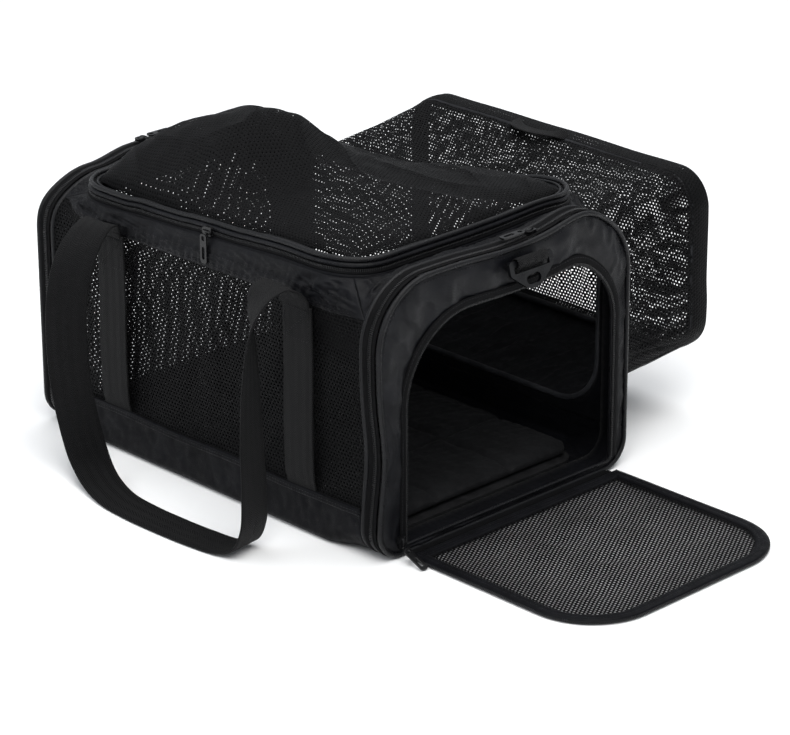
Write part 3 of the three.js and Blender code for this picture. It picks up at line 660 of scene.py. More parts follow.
def slump(x, y):
    """How far the roof's cloth sinks: at the near rear corner, and along its far edge."""
    near = NEAR_SLUMP * smooth((150.0 - x) / 330.0)
    far = FAR_SLUMP * smooth((190.0 - x) / 260.0) * (1.0 - 0.85 * smooth((-x - 125.0) / 85.0))
    frame_top = 6.0 * smooth((-x - 150.0) / 50.0) * smooth((y + 90.0) / 45.0)
    return np.maximum(mix(near, far, far_share(y)) - frame_top, 0.0)


def settled(points):
    """The soft body at rest: its roof slumps, and the front frame sags, stands up and bows."""
    x, y, z = points[..., 0], points[..., 1], points[..., 2]
    foot = mix(196.0, 110.0, far_share(y))
    tent = 1.0 - np.clip((y - TENT_START) / 126.0, 0.0, 1.0)
    drop = slump(x, y) * smooth((z - foot) / (250.0 - foot)) * tent
    front = smooth((x - 178.0) / 22.0)
    lift = (6.5 * bell((y - 88.0) / 30.0) - 3.0 * bell((y - 2.0) / 42.0)) * smooth((z - 170.0) / 70.0)
    bow = 6.5 * bell((z - 92.0) / 42.0) * smooth((x - 170.0) / 40.0) * smooth((-y - 116.0) / 34.0)
    result = points.copy()
    result[..., 2] += lift * front - drop
    result[..., 1] += bow
    return result


def resting(point):
    """Where a point of the body lies once the cloth has settled."""
    return settled(np.array([point], float))[0]


def end_loop(way, inset, x, spacing=3.0):
    """The end frame's outline at one end, as (points, outward directions)."""
    flat, out = rounded(END, inset, spacing)
    return at_end(flat, way * x), at_end(out, 0.0)


AXIS_X = np.array([1.0, 0.0, 0.0])
AXIS_Y = np.array([0.0, 1.0, 0.0])
AXIS_Z = np.array([0.0, 0.0, 1.0])


def build_end_frame(end, way):
    for part, x in (("outer", HALF_LENGTH - PIPE), ("inner", 199.6)):
        path, out = end_loop(way, PIPE, x)
        tube = swept(path, out, AXIS_X, circle(2.35, 12))
        flange_side = -1.0 if part == "outer" else 1.0
        name = f"{end}_{part}_piping"
        cloth(f"{name}_cord", settled(tube), OXFORD_PIPING, "cabin", "piping", name, wrap=TUBE, flip=way < 0)
        flat = [(-1.6, 0.0), (-1.2, 1.9), (-0.5, 3.4), (-0.7, 4.6)]
        seam = swept(path, out, AXIS_X * flange_side * way, flat)
        cloth(f"{name}_flange", settled(seam), OXFORD_PIPING, "cabin", "piping", wrap=LOOP, thick=0.5)
    build_gusset(end, way)
    path, out = end_loop(way, 5.2, GUSSET_X)
    wire = settled(swept(path, out, AXIS_X, circle(1.6, 10)))
    cloth(f"{end}_spring_wire", wire, STEEL, "cabin", "spring_wire", f"{end}_frame_wire",
          wrap=TUBE, flip=way < 0)
    path, out = end_loop(way, 7.6, 0.0)
    profile = [(0.0, 195.5), (0.5, 203.0), (0.3, 211.0), (0.0, 217.6)]
    lining = settled(swept(path * [0, 1, 1], out, AXIS_X * way, profile))
    cloth(f"{end}_frame_lining", lining, OXFORD, "cabin", "oxford_fabric", wrap=LOOP, thick=0.6)


def build_gusset(end, way):
    """Two tapes with a nylon coil between them, folded a little, between the two pipings."""
    path, out = end_loop(way, 0.0, 0.0, 2.4)
    run = travelled(path)
    slack = 0.35 * rolling(run, run * 0, 7 if way > 0 else 9, 90.0)
    for part, sign in (("inner", -1.0), ("outer", 1.0)):
        offsets = [(-1.0, 6.6), (-0.2, 5.4), (-1.3, 4.2), (-1.9, 2.9), (-1.4, 1.7), (-1.6, 0.9)]
        rows = []
        for a, b in offsets:
            x = GUSSET_X + sign * b
            rows.append(path * [0, 1, 1] + out * (a + slack[:, None] * (b / 6.6)) + AXIS_X * x * way)
        tape = settled(np.stack(rows, axis=1))
        nodes = [f"{end}_gusset_zipper"] if part == "outer" else []
        cloth(f"{end}_gusset_tape_{part}", tape, TAPE, "cabin", "zipper_tape", *nodes, wrap=LOOP, thick=0.7)
    line = path * [0, 1, 1] + out * (-1.1) + AXIS_X * GUSSET_X * way
    coil(f"{end}_gusset_coil", settled(line), out, True, "cabin", 4.4, 1.9)


RING_COUNTS = (72, 48, 36, 44, 40, 44)


def build_padded_ring(end, way):
    """The padded face of an end frame, from its piping to the opening, closed behind."""
    outer = evenly(frame_segments(3.6), RING_COUNTS)
    inner = evenly(arch_segments(0.0, ARCH_BASE), RING_COUNTS)
    across = np.linspace(0.0, 1.0, 17)
    flat = mix(outer[:, None, :], inner[:, None, :], across[None, :, None])
    y, z = flat[..., 0], flat[..., 1]
    wide = np.linalg.norm(outer - inner, axis=1)[:, None]
    crown = np.minimum(wide / 30.0, 1.0) * (1.0 - np.abs(2.0 * across - 1.0) ** 2.6)
    seam = bell(across / 0.16)[None, :] + 0.6 * bell((1.0 - across) / 0.2)[None, :]
    run = travelled(outer)[:, None]
    pucker = rolling(run, y * 0.2, 21 if way > 0 else 22, 26.0) * seam * 0.9
    drape = rolling(y, z, 31 if way > 0 else 32, 95.0) * 1.5 * np.sin(math.pi * across)[None, :]
    folds = creased(y * 1.3, z * 0.8, 41 if way > 0 else 43, 70.0) ** 3 * 1.2
    front = 218.2 + 2.9 * crown + (pucker + drape + folds) * np.minimum(wide / 20.0, 1.0)
    face = at_end(flat, way * front)
    back_across = np.linspace(1.0, 0.0, 7)[1:-1]
    back_flat = mix(outer[:, None, :], inner[:, None, :], back_across[None, :, None])
    back = at_end(back_flat, way * 215.6)
    pad = settled(np.concatenate([face, back], axis=1))
    cloth(f"{end}_ring_pad", pad, OXFORD_SATIN, "cabin", "oxford_fabric", f"{end}_padded_ring",
          wrap=TUBE, flip=way > 0)
    build_ring_trim(end, way)


def build_ring_trim(end, way):
    """A bound edge round the opening, and stitches beside the piping."""
    flat = resampled(evenly(arch_segments(0.6, 9.6), RING_COUNTS), 3.0, True)
    out = at_end(outward(flat), 0.0)
    path = at_end(flat, way * 219.6)
    edge = settled(swept(path, out, AXIS_X, circle(1.5, 8)))
    cloth(f"{end}_opening_binding", edge, OXFORD_PIPING, "cabin", "piping", wrap=TUBE, flip=way < 0)
    flat, _ = rounded(END, 8.2, 2.4)
    up = np.tile(AXIS_X * way, (len(flat), 1))
    line = at_end(flat, way * 219.9)
    stitches(f"{end}_ring_stitches", settled(line), up, True, "cabin", size=(2.4, 0.55, 0.5))


def build_opening_zipper():
    """The front opening's zipper tape, on the face of the ring, with its half of the coil."""
    segments = arch_segments(0.0, ARCH_BASE)[1:]
    flat = np.vstack([s if k == 0 else s[1:] for k, s in enumerate(segments)])
    flat = resampled(flat, 2.4, False)
    ahead = np.gradient(flat, axis=0)
    out2 = normalised(np.stack([ahead[:, 1], -ahead[:, 0]], axis=1))
    keep = flat[:, 1] > 13.0
    flat, out2 = flat[keep], out2[keep]
    path, out = at_end(flat, 0.0), at_end(out2, 0.0)
    profile = [(1.2, 221.6), (3.0, 222.1), (5.0, 222.2), (7.0, 221.8), (8.4, 221.2)]
    tape = settled(swept(path, out, AXIS_X, profile))
    cloth("opening_zipper_tape", tape, TAPE, "cabin", "zipper_tape", "opening_zipper", thick=0.7)
    up = np.tile(AXIS_X, (len(path), 1))
    coil("opening_zipper_coil", settled(path + out * 1.0 + AXIS_X * 222.1), up, False, "cabin", 2.6, 1.2)
    row = settled(path + out * 6.6 + AXIS_X * 222.2)
    stitches("opening_zipper_stitches", row, up, False, "cabin", pitch=3.2, size=(2.2, 0.5, 0.5))


def build_rear_window():
    segments = arch_segments(3.0, 8.0)
    edge = evenly(segments, (24, 18, 12, 16, 12, 18))
    across = np.linspace(1.0, 0.0, 12)
    centre = np.array([5.0, 100.0])
    flat = shrunk(edge, centre, across)
    sag = 2.0 * np.sin(math.pi * (1.0 - across)) ** 2
    wave = rolling(flat[..., 0], flat[..., 1], 51, 120.0) * 0.8 * (1.0 - across)
    points = settled(at_end(flat, -217.2 + sag * 0.6 + wave))
    obj = disc("rear_window_net", points, flat)
    piece(obj, NET_DENSE, "cabin", "mesh_netting", "rear_window_mesh")


def disc(name, points, flat):
    """A sheet made of shrinking rings, whose UV map is its flat shape."""
    rings = points.shape[1] - 1
    count = points.shape[0]
    verts = np.concatenate([points[:, :rings].transpose(1, 0, 2).reshape(-1, 3), points[:1, rings]])
    uv = np.concatenate([flat[:, :rings].transpose(1, 0, 2).reshape(-1, 2), flat[:1, rings]])
    faces = []
    for r in range(rings - 1):
        for k in range(count):
            a, b = r * count + k, r * count + (k + 1) % count
            faces.append((a, b, b + count, a + count))
    last = (rings - 1) * count
    faces += [(last + k, last + (k + 1) % count, len(verts) - 1) for k in range(count)]
    corners = np.concatenate([uv[list(f)] for f in faces])
    return make_mesh(name, verts, faces, corners)


# ---- cabin walls ----
def lower_band_points(side, top):
    inset = 0.6
    face = HALF_WIDTH - inset
    inner = HALF_WIDTH - BOTTOM_RADIUS + 0.3
    u, along = grid(120, 30)
    x = mix(-BODY_END - 1.5, BODY_END + 1.5, u)
    opening = smooth((np.abs(x) - 150.0) / (BODY_END - 150.0))
    radius = mix(7.0, BOTTOM_RADIUS - inset - 0.3, opening)
    angle = np.clip((along - 0.25) / 0.5, 0, 1) * math.pi / 2
    bend = face - radius + radius * np.sin(angle)
    y = np.where(along < 0.25, mix(inner, face - radius, along / 0.25), bend)
    rise = np.clip((along - 0.75) / 0.25, 0, 1)
    z = np.where(along > 0.75, mix(inset + radius, top, rise), inset + radius - radius * np.cos(angle))
    points = np.stack([x, side * y, z], axis=-1)
    normal = surface_normals(points)
    normal *= np.sign(normal[..., 1:2] * side + 1e-9)
    upright = smooth((z - 3.0) / 12.0)
    crumple = rolling(x, z * 2.0, 71 + side, 75.0) * 0.9 + creased(x, z * 3.0, 73 + side, 46.0) ** 2 * 1.1
    return settled(points - normal * (np.abs(crumple) * upright)[..., None])


def build_lower_bands():
    for label, side, top in (("near", -1, BAND_LOW), ("far", 1, 32.0)):
        cloth(f"{label}_lower_band_cloth", lower_band_points(side, top), OXFORD, "cabin", "oxford_fabric",
              f"{label}_lower_band", flip=side > 0, thick=FABRIC, offset=-1.0)
    x = np.linspace(-BODY_END, BODY_END, 160)
    z = BAND_LOW + 0.6 * np.sin(x / 23.0)
    line = settled(np.stack([x, np.full_like(x, -HALF_WIDTH + 0.6), z], axis=1))
    out = np.tile(-AXIS_Y, (len(x), 1))
    profile = [(-1.4, 1.4), (0.1, 1.3), (0.4, 0.4), (0.4, -3.4), (0.1, -5.0), (-0.9, -5.2)]
    strip = swept(line, out, AXIS_Z, profile)
    cloth("near_lower_binding", strip, OXFORD, "cabin", "oxford_fabric", thick=0.6)
    for k, drop in enumerate((-1.4, -4.0)):
        row = line + out * 0.75 + AXIS_Z * drop
        stitches(f"near_lower_stitches_{k}", row, out, False, "cabin")


def between_corners(u, start, end, radius, base, share):
    """One side of a rounded outline, from the middle of one corner to the middle of the next."""
    quarter = math.pi / 4

    def spot(centre, angle):
        return centre + radius * np.stack([np.cos(angle), np.sin(angle)], axis=-1)

    first = spot(start, base + quarter * np.clip(u / share, 0, 1))
    last = spot(end, base + quarter + quarter * np.clip((u - 1 + share) / share, 0, 1))
    from_, to = (spot(centre, np.array(base + quarter)) for centre in (start, end))
    straight = mix(from_, to, np.clip((u - share) / (1 - 2 * share), 0, 1)[..., None])
    return np.where((u < share)[..., None], first, np.where((u > 1 - share)[..., None], last, straight))


def rim_side(name, u):
    """One side of the roof opening's outline."""
    right, left = RIM["right"] - RIM_RADIUS, RIM["left"] + RIM_RADIUS
    top, bottom = RIM["top"] - RIM_RADIUS, RIM["bottom"] + RIM_RADIUS
    centres = np.array([[right, top], [left, top], [left, bottom], [right, bottom]])
    start, end, eighths = {"near": (2, 3, 5), "front": (3, 0, 7), "far": (0, 1, 1), "rear": (1, 2, 3)}[name]
    return between_corners(u, centres[start], centres[end], RIM_RADIUS + 1.2, eighths * math.pi / 4, 0.16)


def frame_corner(x):
    """From 0 along the middle of the cabin to 1 at its end frames."""
    return smooth((np.abs(x) - CORNER_START) / CORNER_RUN)


def frame_reach(z):
    """How far out the end frame's outline reaches at height z."""
    radius = TOP_RADIUS - FRAME_INSET
    rise = np.clip(z - (HEIGHT - TOP_RADIUS), 0.0, radius)
    return HALF_WIDTH - TOP_RADIUS + np.sqrt(radius**2 - rise**2)


def wall_reach(x, z):
    """A side wall stands flat, and follows the frames' round corners at its ends."""
    return mix(HALF_WIDTH - FRAME_INSET, frame_reach(z), frame_corner(x))


def over_the_top(u, x):
    """The frame's outline from the near band's foot, over the top, to the far band's foot."""
    cy, cz, radius = HALF_WIDTH - TOP_RADIUS, HEIGHT - TOP_RADIUS, TOP_RADIUS - FRAME_INSET
    share = 0.3
    near = u < 0.5
    foot = np.where(near, band_foot(x), far_top(x))
    start = np.arcsin(np.clip((foot - cz) / radius, 0.0, 1.0))
    part = np.where(near, u, 1.0 - u) / share
    angle = start + (math.pi / 2 - start) * np.clip(part, 0, 1)
    side = np.where(near, -1.0, 1.0)
    flat = (u > share) & (u < 1 - share)
    y = np.where(flat, mix(-cy, cy, (u - share) / (1 - 2 * share)), side * (cy + radius * np.cos(angle)))
    z = np.where(flat, HEIGHT - FRAME_INSET, cz + radius * np.sin(angle))
    return np.stack([np.broadcast_to(x, y.shape), y, z], axis=-1)


def band_foot(x):
    """The near upper band's lower edge, which turns up at the rear."""
    return BAND_TOP + 13.0 * smooth((-x - 130.0) / 60.0)


def far_top(x):
    """The far upper band's lower edge."""
    return 236.0 - 25.0 * frame_corner(x)


def shoulder_points(name):
    u, v = grid(150, 26)
    if name == "near":
        x = mix(-BODY_REACH, BODY_REACH, u)
        outer = np.stack([x, -wall_reach(x, band_foot(x)), band_foot(x)], axis=-1)
        push = np.array([0.0, -1.0, 0.0])
    elif name == "far":
        x = mix(BODY_REACH, -BODY_REACH, u)
        outer = np.stack([x, wall_reach(x, far_top(x)), far_top(x)], axis=-1)
        push = np.array([0.0, 0.0, 1.0])
    elif name == "front":
        outer = over_the_top(u, BODY_REACH)
        push = np.array([0.0, 0.0, 1.0])
    else:
        outer = over_the_top(1 - u, -BODY_REACH)
        push = np.array([0.0, 0.0, 1.0])
    inner = np.concatenate([rim_side(name, u), np.full(u.shape + (1,), 239.5)], axis=-1)
    points = mix(outer, inner, v[..., None]) + push * (4.0 * v * (1 - v))[..., None]
    return points, u, v


def build_shoulder(name, seed):
    points, u, v = shoulder_points(name)
    normal = surface_normals(points)
    normal *= np.sign((normal * [0.0, 0.0, 1.0]).sum(axis=-1, keepdims=True) + 1e-9)
    run = arc_lengths(points, 0, False)[:, None] + 0 * v
    reach = arc_lengths(points, 1, False)[None, :] + 0 * u
    free = np.sin(math.pi * np.clip(v, 0, 1)) ** 0.7
    ends = bell(u / 0.13) + bell((u - 1.0) / 0.13)
    ripple = np.sin(run * math.tau / 8.5 + 1.3 * rolling(run, reach, seed + 4, 60.0)) * 0.7
    ripple = ripple * (bell((v - 0.12) / 0.16) + bell((v - 0.5) / 0.22)) * (name in ("near", "rear"))
    folds = creased(run * 0.7 + reach * 1.2, reach, seed, 30.0) ** 2 * (1.5 + 2.4 * ends)
    billow = rolling(run, reach * 1.5, seed + 1, 60.0) * (1.1 + 1.2 * ends)
    height = ((folds + billow + 0.5 * ends) * free + ripple) * smooth(np.minimum(u, 1.0 - u) / 0.05)
    points = settled(points + normal * np.clip(height, -3.0, 3.6)[..., None])
    node = f"{name}_upper_band" if name in ("near", "far") else f"{name}_top_strip"
    cloth(f"{node}_cloth", points, OXFORD_CREASED, "cabin", "oxford_fabric", node, thick=FABRIC, offset=-1.0)
    return points, normal


def build_shoulders():
    for name, seed in (("near", 80), ("front", 90), ("far", 100), ("rear", 110)):
        points, normal = build_shoulder(name, seed)
        if name != "near":
            continue
        for k, row in enumerate((2, 4, 12)):
            line = points[6:-6, row] + normal[6:-6, row] * 0.25
            stitches(f"near_band_stitches_{k}", line, normal[6:-6, row], False, "cabin")


def build_near_window():
    u, v = grid(90, 42)
    x = mix(-198.0, 198.0, u)
    z = mix(BAND_LOW - 3.0, band_foot(x) + 2.0, v)
    hold = (1.0 - np.abs(2 * u - 1) ** 6) * (1.0 - np.abs(2 * v - 1) ** 6)
    slack = 5.0 * hold + rolling(x, z, 61, 150.0) * 2.2 * hold + rolling(x, z, 62, 60.0) * 0.5 * hold
    points = np.stack([x, 0.5 - wall_reach(x, z) + np.maximum(slack, -0.5), z], axis=-1)
    obj = cloth("near_window_net", settled(points), NET, "cabin", "mesh_netting", "near_window_mesh")


def build_floor_pieces():
    repaint("bottom_panel", OXFORD)
    bevelled(repaint("base_board", BOARD), 0.8)


# ---- roof ----
def rim_path(inset, z, spacing=3.0):
    flat, out = rounded(RIM, inset, spacing)
    return at_height(flat, z), at_height(out, 0.0)


def rim_wave(points):
    x, y = points[..., 0], points[..., 1]
    result = points.copy()
    result[..., 2] += 0.7 * rolling(x, y, 121, 150.0) + 1.6 * smooth((x + y - 190.0) / 90.0)
    return settled(result)


def rim_piece(name, inset, z, profile, material, body, slot, *nodes, closed_profile=True, thick=0.0):
    path, out = rim_path(inset, z)
    points = rim_wave(swept(path, out, AXIS_Z, profile))
    obj = lattice(name, points, True, closed_profile, flip=True)
    if thick:
        solidify(obj, thick, 0.0)
    if body == "roof_flap":
        return flap_piece(obj, material, slot, *nodes)
    return piece(obj, material, body, slot, *nodes)


def flap_piece(obj, material, slot, *nodes):
    """A piece of the roof flap, which is sewn down along its far edge: it takes its finish, then is
    unparented with its place baked into its mesh.
    """
    piece(obj, material, "roof_flap", slot, *nodes)
    obj.parent = None
    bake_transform(obj)
    return obj


def build_roof_rim():
    band = [
        (-9.0, 0.2), (-4.0, 0.2), (-0.5, -0.6), (0.9, 0.6), (1.3, 2.4), (0.7, 4.2), (-0.8, 5.0), (-9.0, 4.6),
    ]
    rim_piece("roof_band_roll", 0.0, 236.6, band, OXFORD, "cabin", "oxford_fabric", "roof_opening_band")
    tape = [(-6.0, 0.0), (0.2, -0.6), (0.9, 0.6), (0.1, 1.6), (-0.7, 2.6), (-0.6, 4.0), (-1.4, 4.9)]
    rim_piece("roof_tape_lower", 0.9, 241.6, tape, TAPE, "cabin", "zipper_tape", "roof_opening_zipper",
              closed_profile=False, thick=0.6)
    path, out = rim_path(1.3, 243.9, 2.4)
    coil("roof_zipper_coil", rim_wave(path), out, True, "cabin", 3.6, 1.8)


def build_roof_flap_edge():
    border = [
        (-11.0, 0.3), (-1.6, 0.2), (0.2, 0.9), (0.8, 2.3), (0.2, 3.8), (-1.6, 4.7), (-6.0, 5.1), (-11.0, 4.7),
    ]
    rim_piece("roof_flap_hem", 0.9, 246.2, border, OXFORD_SATIN, "roof_flap", "oxford_fabric",
              "roof_flap_border")
    rim_piece("roof_flap_cord", 3.2, 253.2, circle(2.1, 12), OXFORD_PIPING, "roof_flap", "piping",
              "roof_flap_piping")
    rim_piece("roof_flap_cord_inner", 8.6, 252.4, circle(1.2, 8), OXFORD_PIPING, "roof_flap", "piping")
    for k, (inset, z) in enumerate(((0.1, 249.0), (6.2, 251.7))):
        path, out = rim_path(inset, z, 2.4)
        up = out if k == 0 else np.tile(AXIS_Z, (len(out), 1))
        thread = beads(f"roof_flap_stitches_{k}", rim_wave(path), up, True, STITCH_PITCH, STITCH_SIZE)
        flap_piece(thread, THREAD, "oxford_fabric")


def one_sided(at, centre, before, after):
    return (at - centre) / np.where(at < centre, before, after)


def roof_height(x, y, edge):
    """Two humps, the main one towards the rear, on a loose cloth held along its edge."""
    main = 50.0 * bell(np.hypot(one_sided(x, -47.0, 240.0, 48.0), one_sided(y, -34.0, 100.0, 64.0)))
    second = 17.0 * bell(np.hypot((x - 24.0) / 78.0, (y + 5.0) / 60.0))
    return edge * (main + second + 20.0)


def build_roof_net():
    """The loose roof mesh, which stands up in two humps with folds between them."""
    a, b = grid(150, 120, -1.0)
    half_x, half_y = 183.0 - 6.5, 141.5 - 6.5
    cut = RIM_RADIUS * 0.3 * np.abs(a * b) ** 2.4
    x = 2.0 + a * half_x - np.sign(a) * cut
    y = -3.5 + b * half_y - np.sign(b) * cut
    edge = np.sqrt(np.maximum((1 - a**4) * (1 - b**4), 0.0))
    height = roof_height(x, y, edge)
    loose = np.minimum(edge * 1.4, 1.0)
    radial = creased(x * 0.9 + y * 0.3, y, 131, 190.0) ** 2 * 2.4 * loose
    broad = rolling(x, y * 1.2, 133, 210.0) * 1.8 * loose + rolling(x, y, 134, 70.0) * 1.0 * loose
    z = 252.4 + np.maximum(height + radial + broad - 1.6 * loose, -0.2)
    z = z - slump(x, y)
    points = np.stack([x, y, z], axis=-1)
    obj = lattice("roof_flap_net", points)
    flap_piece(obj, NET_DENSE, "mesh_netting", "roof_flap_mesh")


# ---- front door ----
DOOR = dict(start=229.0, end=438.0, near=-124.5, far=130.5, radius=62.0)


def door_segments(inset):
    """The door's outline on the floor, straight along its hinge."""
    near, far = DOOR["near"] + inset, DOOR["far"] - inset
    start, end = DOOR["start"] + inset, DOOR["end"] - inset
    radius = DOOR["radius"] - inset
    return [
        np.array([[start, near], [end - radius, near]]),
        corner(end - radius, near + radius, radius, -math.pi / 2),
        np.array([[end, near + radius], [end, far - radius]]),
        corner(end - radius, far - radius, radius, 0),
        np.array([[end - radius, far], [start, far]]),
        np.array([[start, far], [start, near]]),
    ]


DOOR_COUNTS = (50, 34, 44, 34, 50, 84)


def door_lie(points):
    """The soft door lies on the floor in a shallow wave."""
    x, y = points[..., 0], points[..., 1]
    out = smooth((x - 235.0) / 40.0)
    result = points.copy()
    result[..., 2] += out * (0.5 + 0.5 * rolling(x, y, 141, 190.0)) * 0.4
    return result


def build_door():
    outer = evenly(door_segments(0.0), DOOR_COUNTS)
    out2 = outward(outer)
    path, out = at_height(outer, 0.6), at_height(out2, 0.0)
    rolled = [
        (-12.0, 0.5), (-4.0, 0.1), (-1.0, 0.2), (-0.2, 1.4), (-0.4, 2.8), (-1.6, 4.0), (-4.0, 4.4),
        (-7.0, 3.9), (-9.5, 4.2), (-11.6, 3.6), (-12.6, 2.1),
    ]
    hem = door_lie(swept(path, out, AXIS_Z, rolled))
    cloth("door_hem", hem, OXFORD, "front_door", "oxford_fabric", "door_border", wrap=TUBE, flip=True)
    keep = outer[:, 0] > 233.0
    up = at_height(out2[keep], 0.0)
    line = at_height(outer[keep], 2.6) - 0.1 * up
    coil("door_zipper_coil", door_lie(line), up, False, "front_door", 2.4, 1.6)
    for k, inset in enumerate((5.4, 8.6)):
        flat = evenly(door_segments(inset), DOOR_COUNTS)
        top = np.tile(AXIS_Z, (len(flat), 1))
        row = door_lie(at_height(flat, 4.8 - 0.1 * k))
        stitches(f"door_stitches_{k}", row, top, True, "front_door")
    build_door_net()
    bevelled(repaint("door_hinge_tape", TAPE), 0.7)
    build_hinge_fold()


def build_hinge_fold():
    """The strip of tape, curved across, that lies along the line where the door folds down."""
    path = np.array([[0.0, y, 0.0] for y in np.linspace(-117.0, 124.0, 80)])
    along = np.tile(AXIS_X, (80, 1))
    profile = [(218.4, 4.2), (221.0, 3.0), (223.5, 2.0), (226.0, 1.6), (228.5, 1.6), (231.0, 2.0)]
    strip = swept(path, along, AXIS_Z, profile)
    obj = cloth("door_hinge_fold", strip, TAPE, "cabin", "zipper_tape", thick=0.7)
    obj.parent = None
    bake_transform(obj)


def build_door_net():
    edge = evenly(door_segments(10.5), DOOR_COUNTS)
    across = np.linspace(1.0, 0.0, 22)
    centre = np.array([332.0, 3.0])
    flat = shrunk(edge, centre, across)
    x, y = flat[..., 0], flat[..., 1]
    wave = rolling(x, y, 151, 80.0) * 0.7 + rolling(x, y, 152, 35.0) * 0.25
    z = mix(1.7, 3.4, across[None, :] ** 3) + (wave + 0.3) * (1.0 - across[None, :] ** 4)
    obj = disc("door_net", door_lie(np.stack([x, y, np.maximum(z, 0.9)], axis=-1)), flat)
    piece(obj, NET, "front_door", "mesh_netting", "door_mesh")


# ---- pull-out tent ----
def box_side(box, side, u, y):
    """One side of a rounded box, standing in the plane at y."""
    low = box["low"]
    right, left = box["right"] - low, box["left"] + low
    top, bottom = box["top"] - low, box["bottom"] + low
    centres = np.array([[right, top], [left, top], [left, bottom], [right, bottom]])
    base = math.pi / 4 + side * math.pi / 2
    flat = between_corners(u, centres[side], centres[(side + 1) % 4], low, base, 0.14)
    return at_side(flat, y)


def tent_wall(side, sag, seed):
    """One wall of the tent, from the mouth to the outer band, sagging inwards."""
    u, v = grid(110, 60)
    start = box_side(MOUTH, side, u, TENT_START)
    end = box_side(TENT, side, u, TENT_END)
    points = mix(start, end, v[..., None])
    middle = np.array([5.0, 0.0, 140.0])
    inwards = normalised((middle - points) * [1.0, 0.0, 1.0])
    span = np.sin(math.pi * v)
    flat = 1.0 - np.abs(2 * u - 1) ** 4
    run, reach = arc_lengths(points, 0, False)[:, None] + 0 * v, 126.0 * v
    fold = creased(run, reach * 0.25, seed, 55.0) ** 2 * 3.0 * np.sin(math.pi * v) ** 0.5
    wave = rolling(run, reach, seed + 1, 80.0) * 1.4 * span
    depth = sag * span * flat + fold * (0.4 + 0.6 * flat) + wave * flat
    return settled(points + inwards * depth[..., None])


def build_tent_walls():
    walls = (
        ("tent_top_wall", NET_FINE, 3.0), ("tent_rear_wall", NET_FINE, 4.0),
        ("tent_floor", OXFORD, -1.0), ("tent_front_wall", NET, 4.0),
    )
    for side, (node, material, sag) in enumerate(walls):
        slot = "oxford_fabric" if material is OXFORD else "mesh_netting"
        obj = cloth(f"{node}_cloth", tent_wall(side, sag, 160 + 5 * side), material, "cabin", slot, node)
        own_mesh(obj)


def tent_path(inset, y):
    flat, out = rounded(TENT, inset)
    return at_side(flat, y), at_side(out, 0.0)


def tent_wave(points):
    """The tent's outer frame is not quite flat."""
    x, z = points[..., 0], points[..., 2]
    result = points.copy()
    result[..., 1] += 1.2 * rolling(x, z, 171, 210.0)
    return result


def build_tent_panel():
    path, out = tent_path(0.0, 0.0)
    for k, inset in enumerate((0.5, 2.2)):
        v = np.linspace(0.0, 1.0, 9)
        puff = [(-inset + 0.9 * math.sin(math.pi * t), 271.5 + 19.9 * t) for t in v]
        band = tent_wave(swept(path, out, AXIS_Y, puff))
        nodes = ["tent_outer_band"] if k == 0 else []
        obj = cloth(f"tent_band_net_{k}", band, NET_DENSE, "tent_panel", "mesh_netting", *nodes, wrap=LOOP)
    path, out = tent_path(3.6, 272.0)
    sleeve = tent_wave(swept(path, out, AXIS_Y, circle(2.7, 12)))
    # The sleeve's lighter cloth is a painted highlight along the wire.
    cloth("tent_wire_sleeve", sleeve, SLEEVE_PAINTED_HIGHLIGHT, "tent_panel", "piping", "tent_frame_wire", wrap=TUBE)
    path, out = tent_path(1.6, 291.2)
    seam = tent_wave(swept(path, out, AXIS_Y, circle(1.3, 8)))
    cloth("tent_outer_seam", seam, OXFORD_PIPING, "tent_panel", "piping", wrap=TUBE)
    build_tent_net()


def build_tent_net():
    edge, _ = rounded(TENT, 1.4, 4.0)
    across = np.linspace(1.0, 0.0, 26)
    centre = np.array([9.0, 145.0])
    flat = shrunk(edge, centre, across)
    x, z = flat[..., 0], flat[..., 1]
    hold = 1.0 - across[None, :] ** 4
    pleats = creased(x, z * 0.12, 181, 40.0) ** 2 * 4.0 + rolling(x, z * 0.4, 182, 70.0) * 1.4
    y = 291.0 + 0.6 - (pleats + 0.5) * hold
    obj = disc("tent_outer_net", np.stack([x, np.minimum(y, 292.8), z], axis=-1), flat)
    piece(obj, NET_FINE, "tent_panel", "mesh_netting", "tent_outer_mesh")


def build_pull_loop():
    """A limp webbing loop, which lies on the top wall in front of the outer frame."""
    turn = np.linspace(-1.0, 1.0, 9)
    route = [
        [-5.0 + 33.0 * t, 259.0 + 17.0 * abs(t) ** 2.2, 234.2 - 1.6 * abs(t) ** 3, 90.0 - 38.0 * t]
        for t in turn
    ]
    build_strap("tent_pull_strap", route, 12.0, 1.4, 40, WEB, "tent_panel", "tent_pull_loop")


def build_strap(name, route, width, thickness, steps, material, body, *nodes):
    points = strap_points(route, width, thickness, steps)
    obj = lattice(name, points, False, True)
    ring = points.shape[1]
    last = (points.shape[0] - 1) * ring
    capped(obj, range(ring), range(last, last + ring))
    return piece(obj, material, body, "webbing", *nodes)


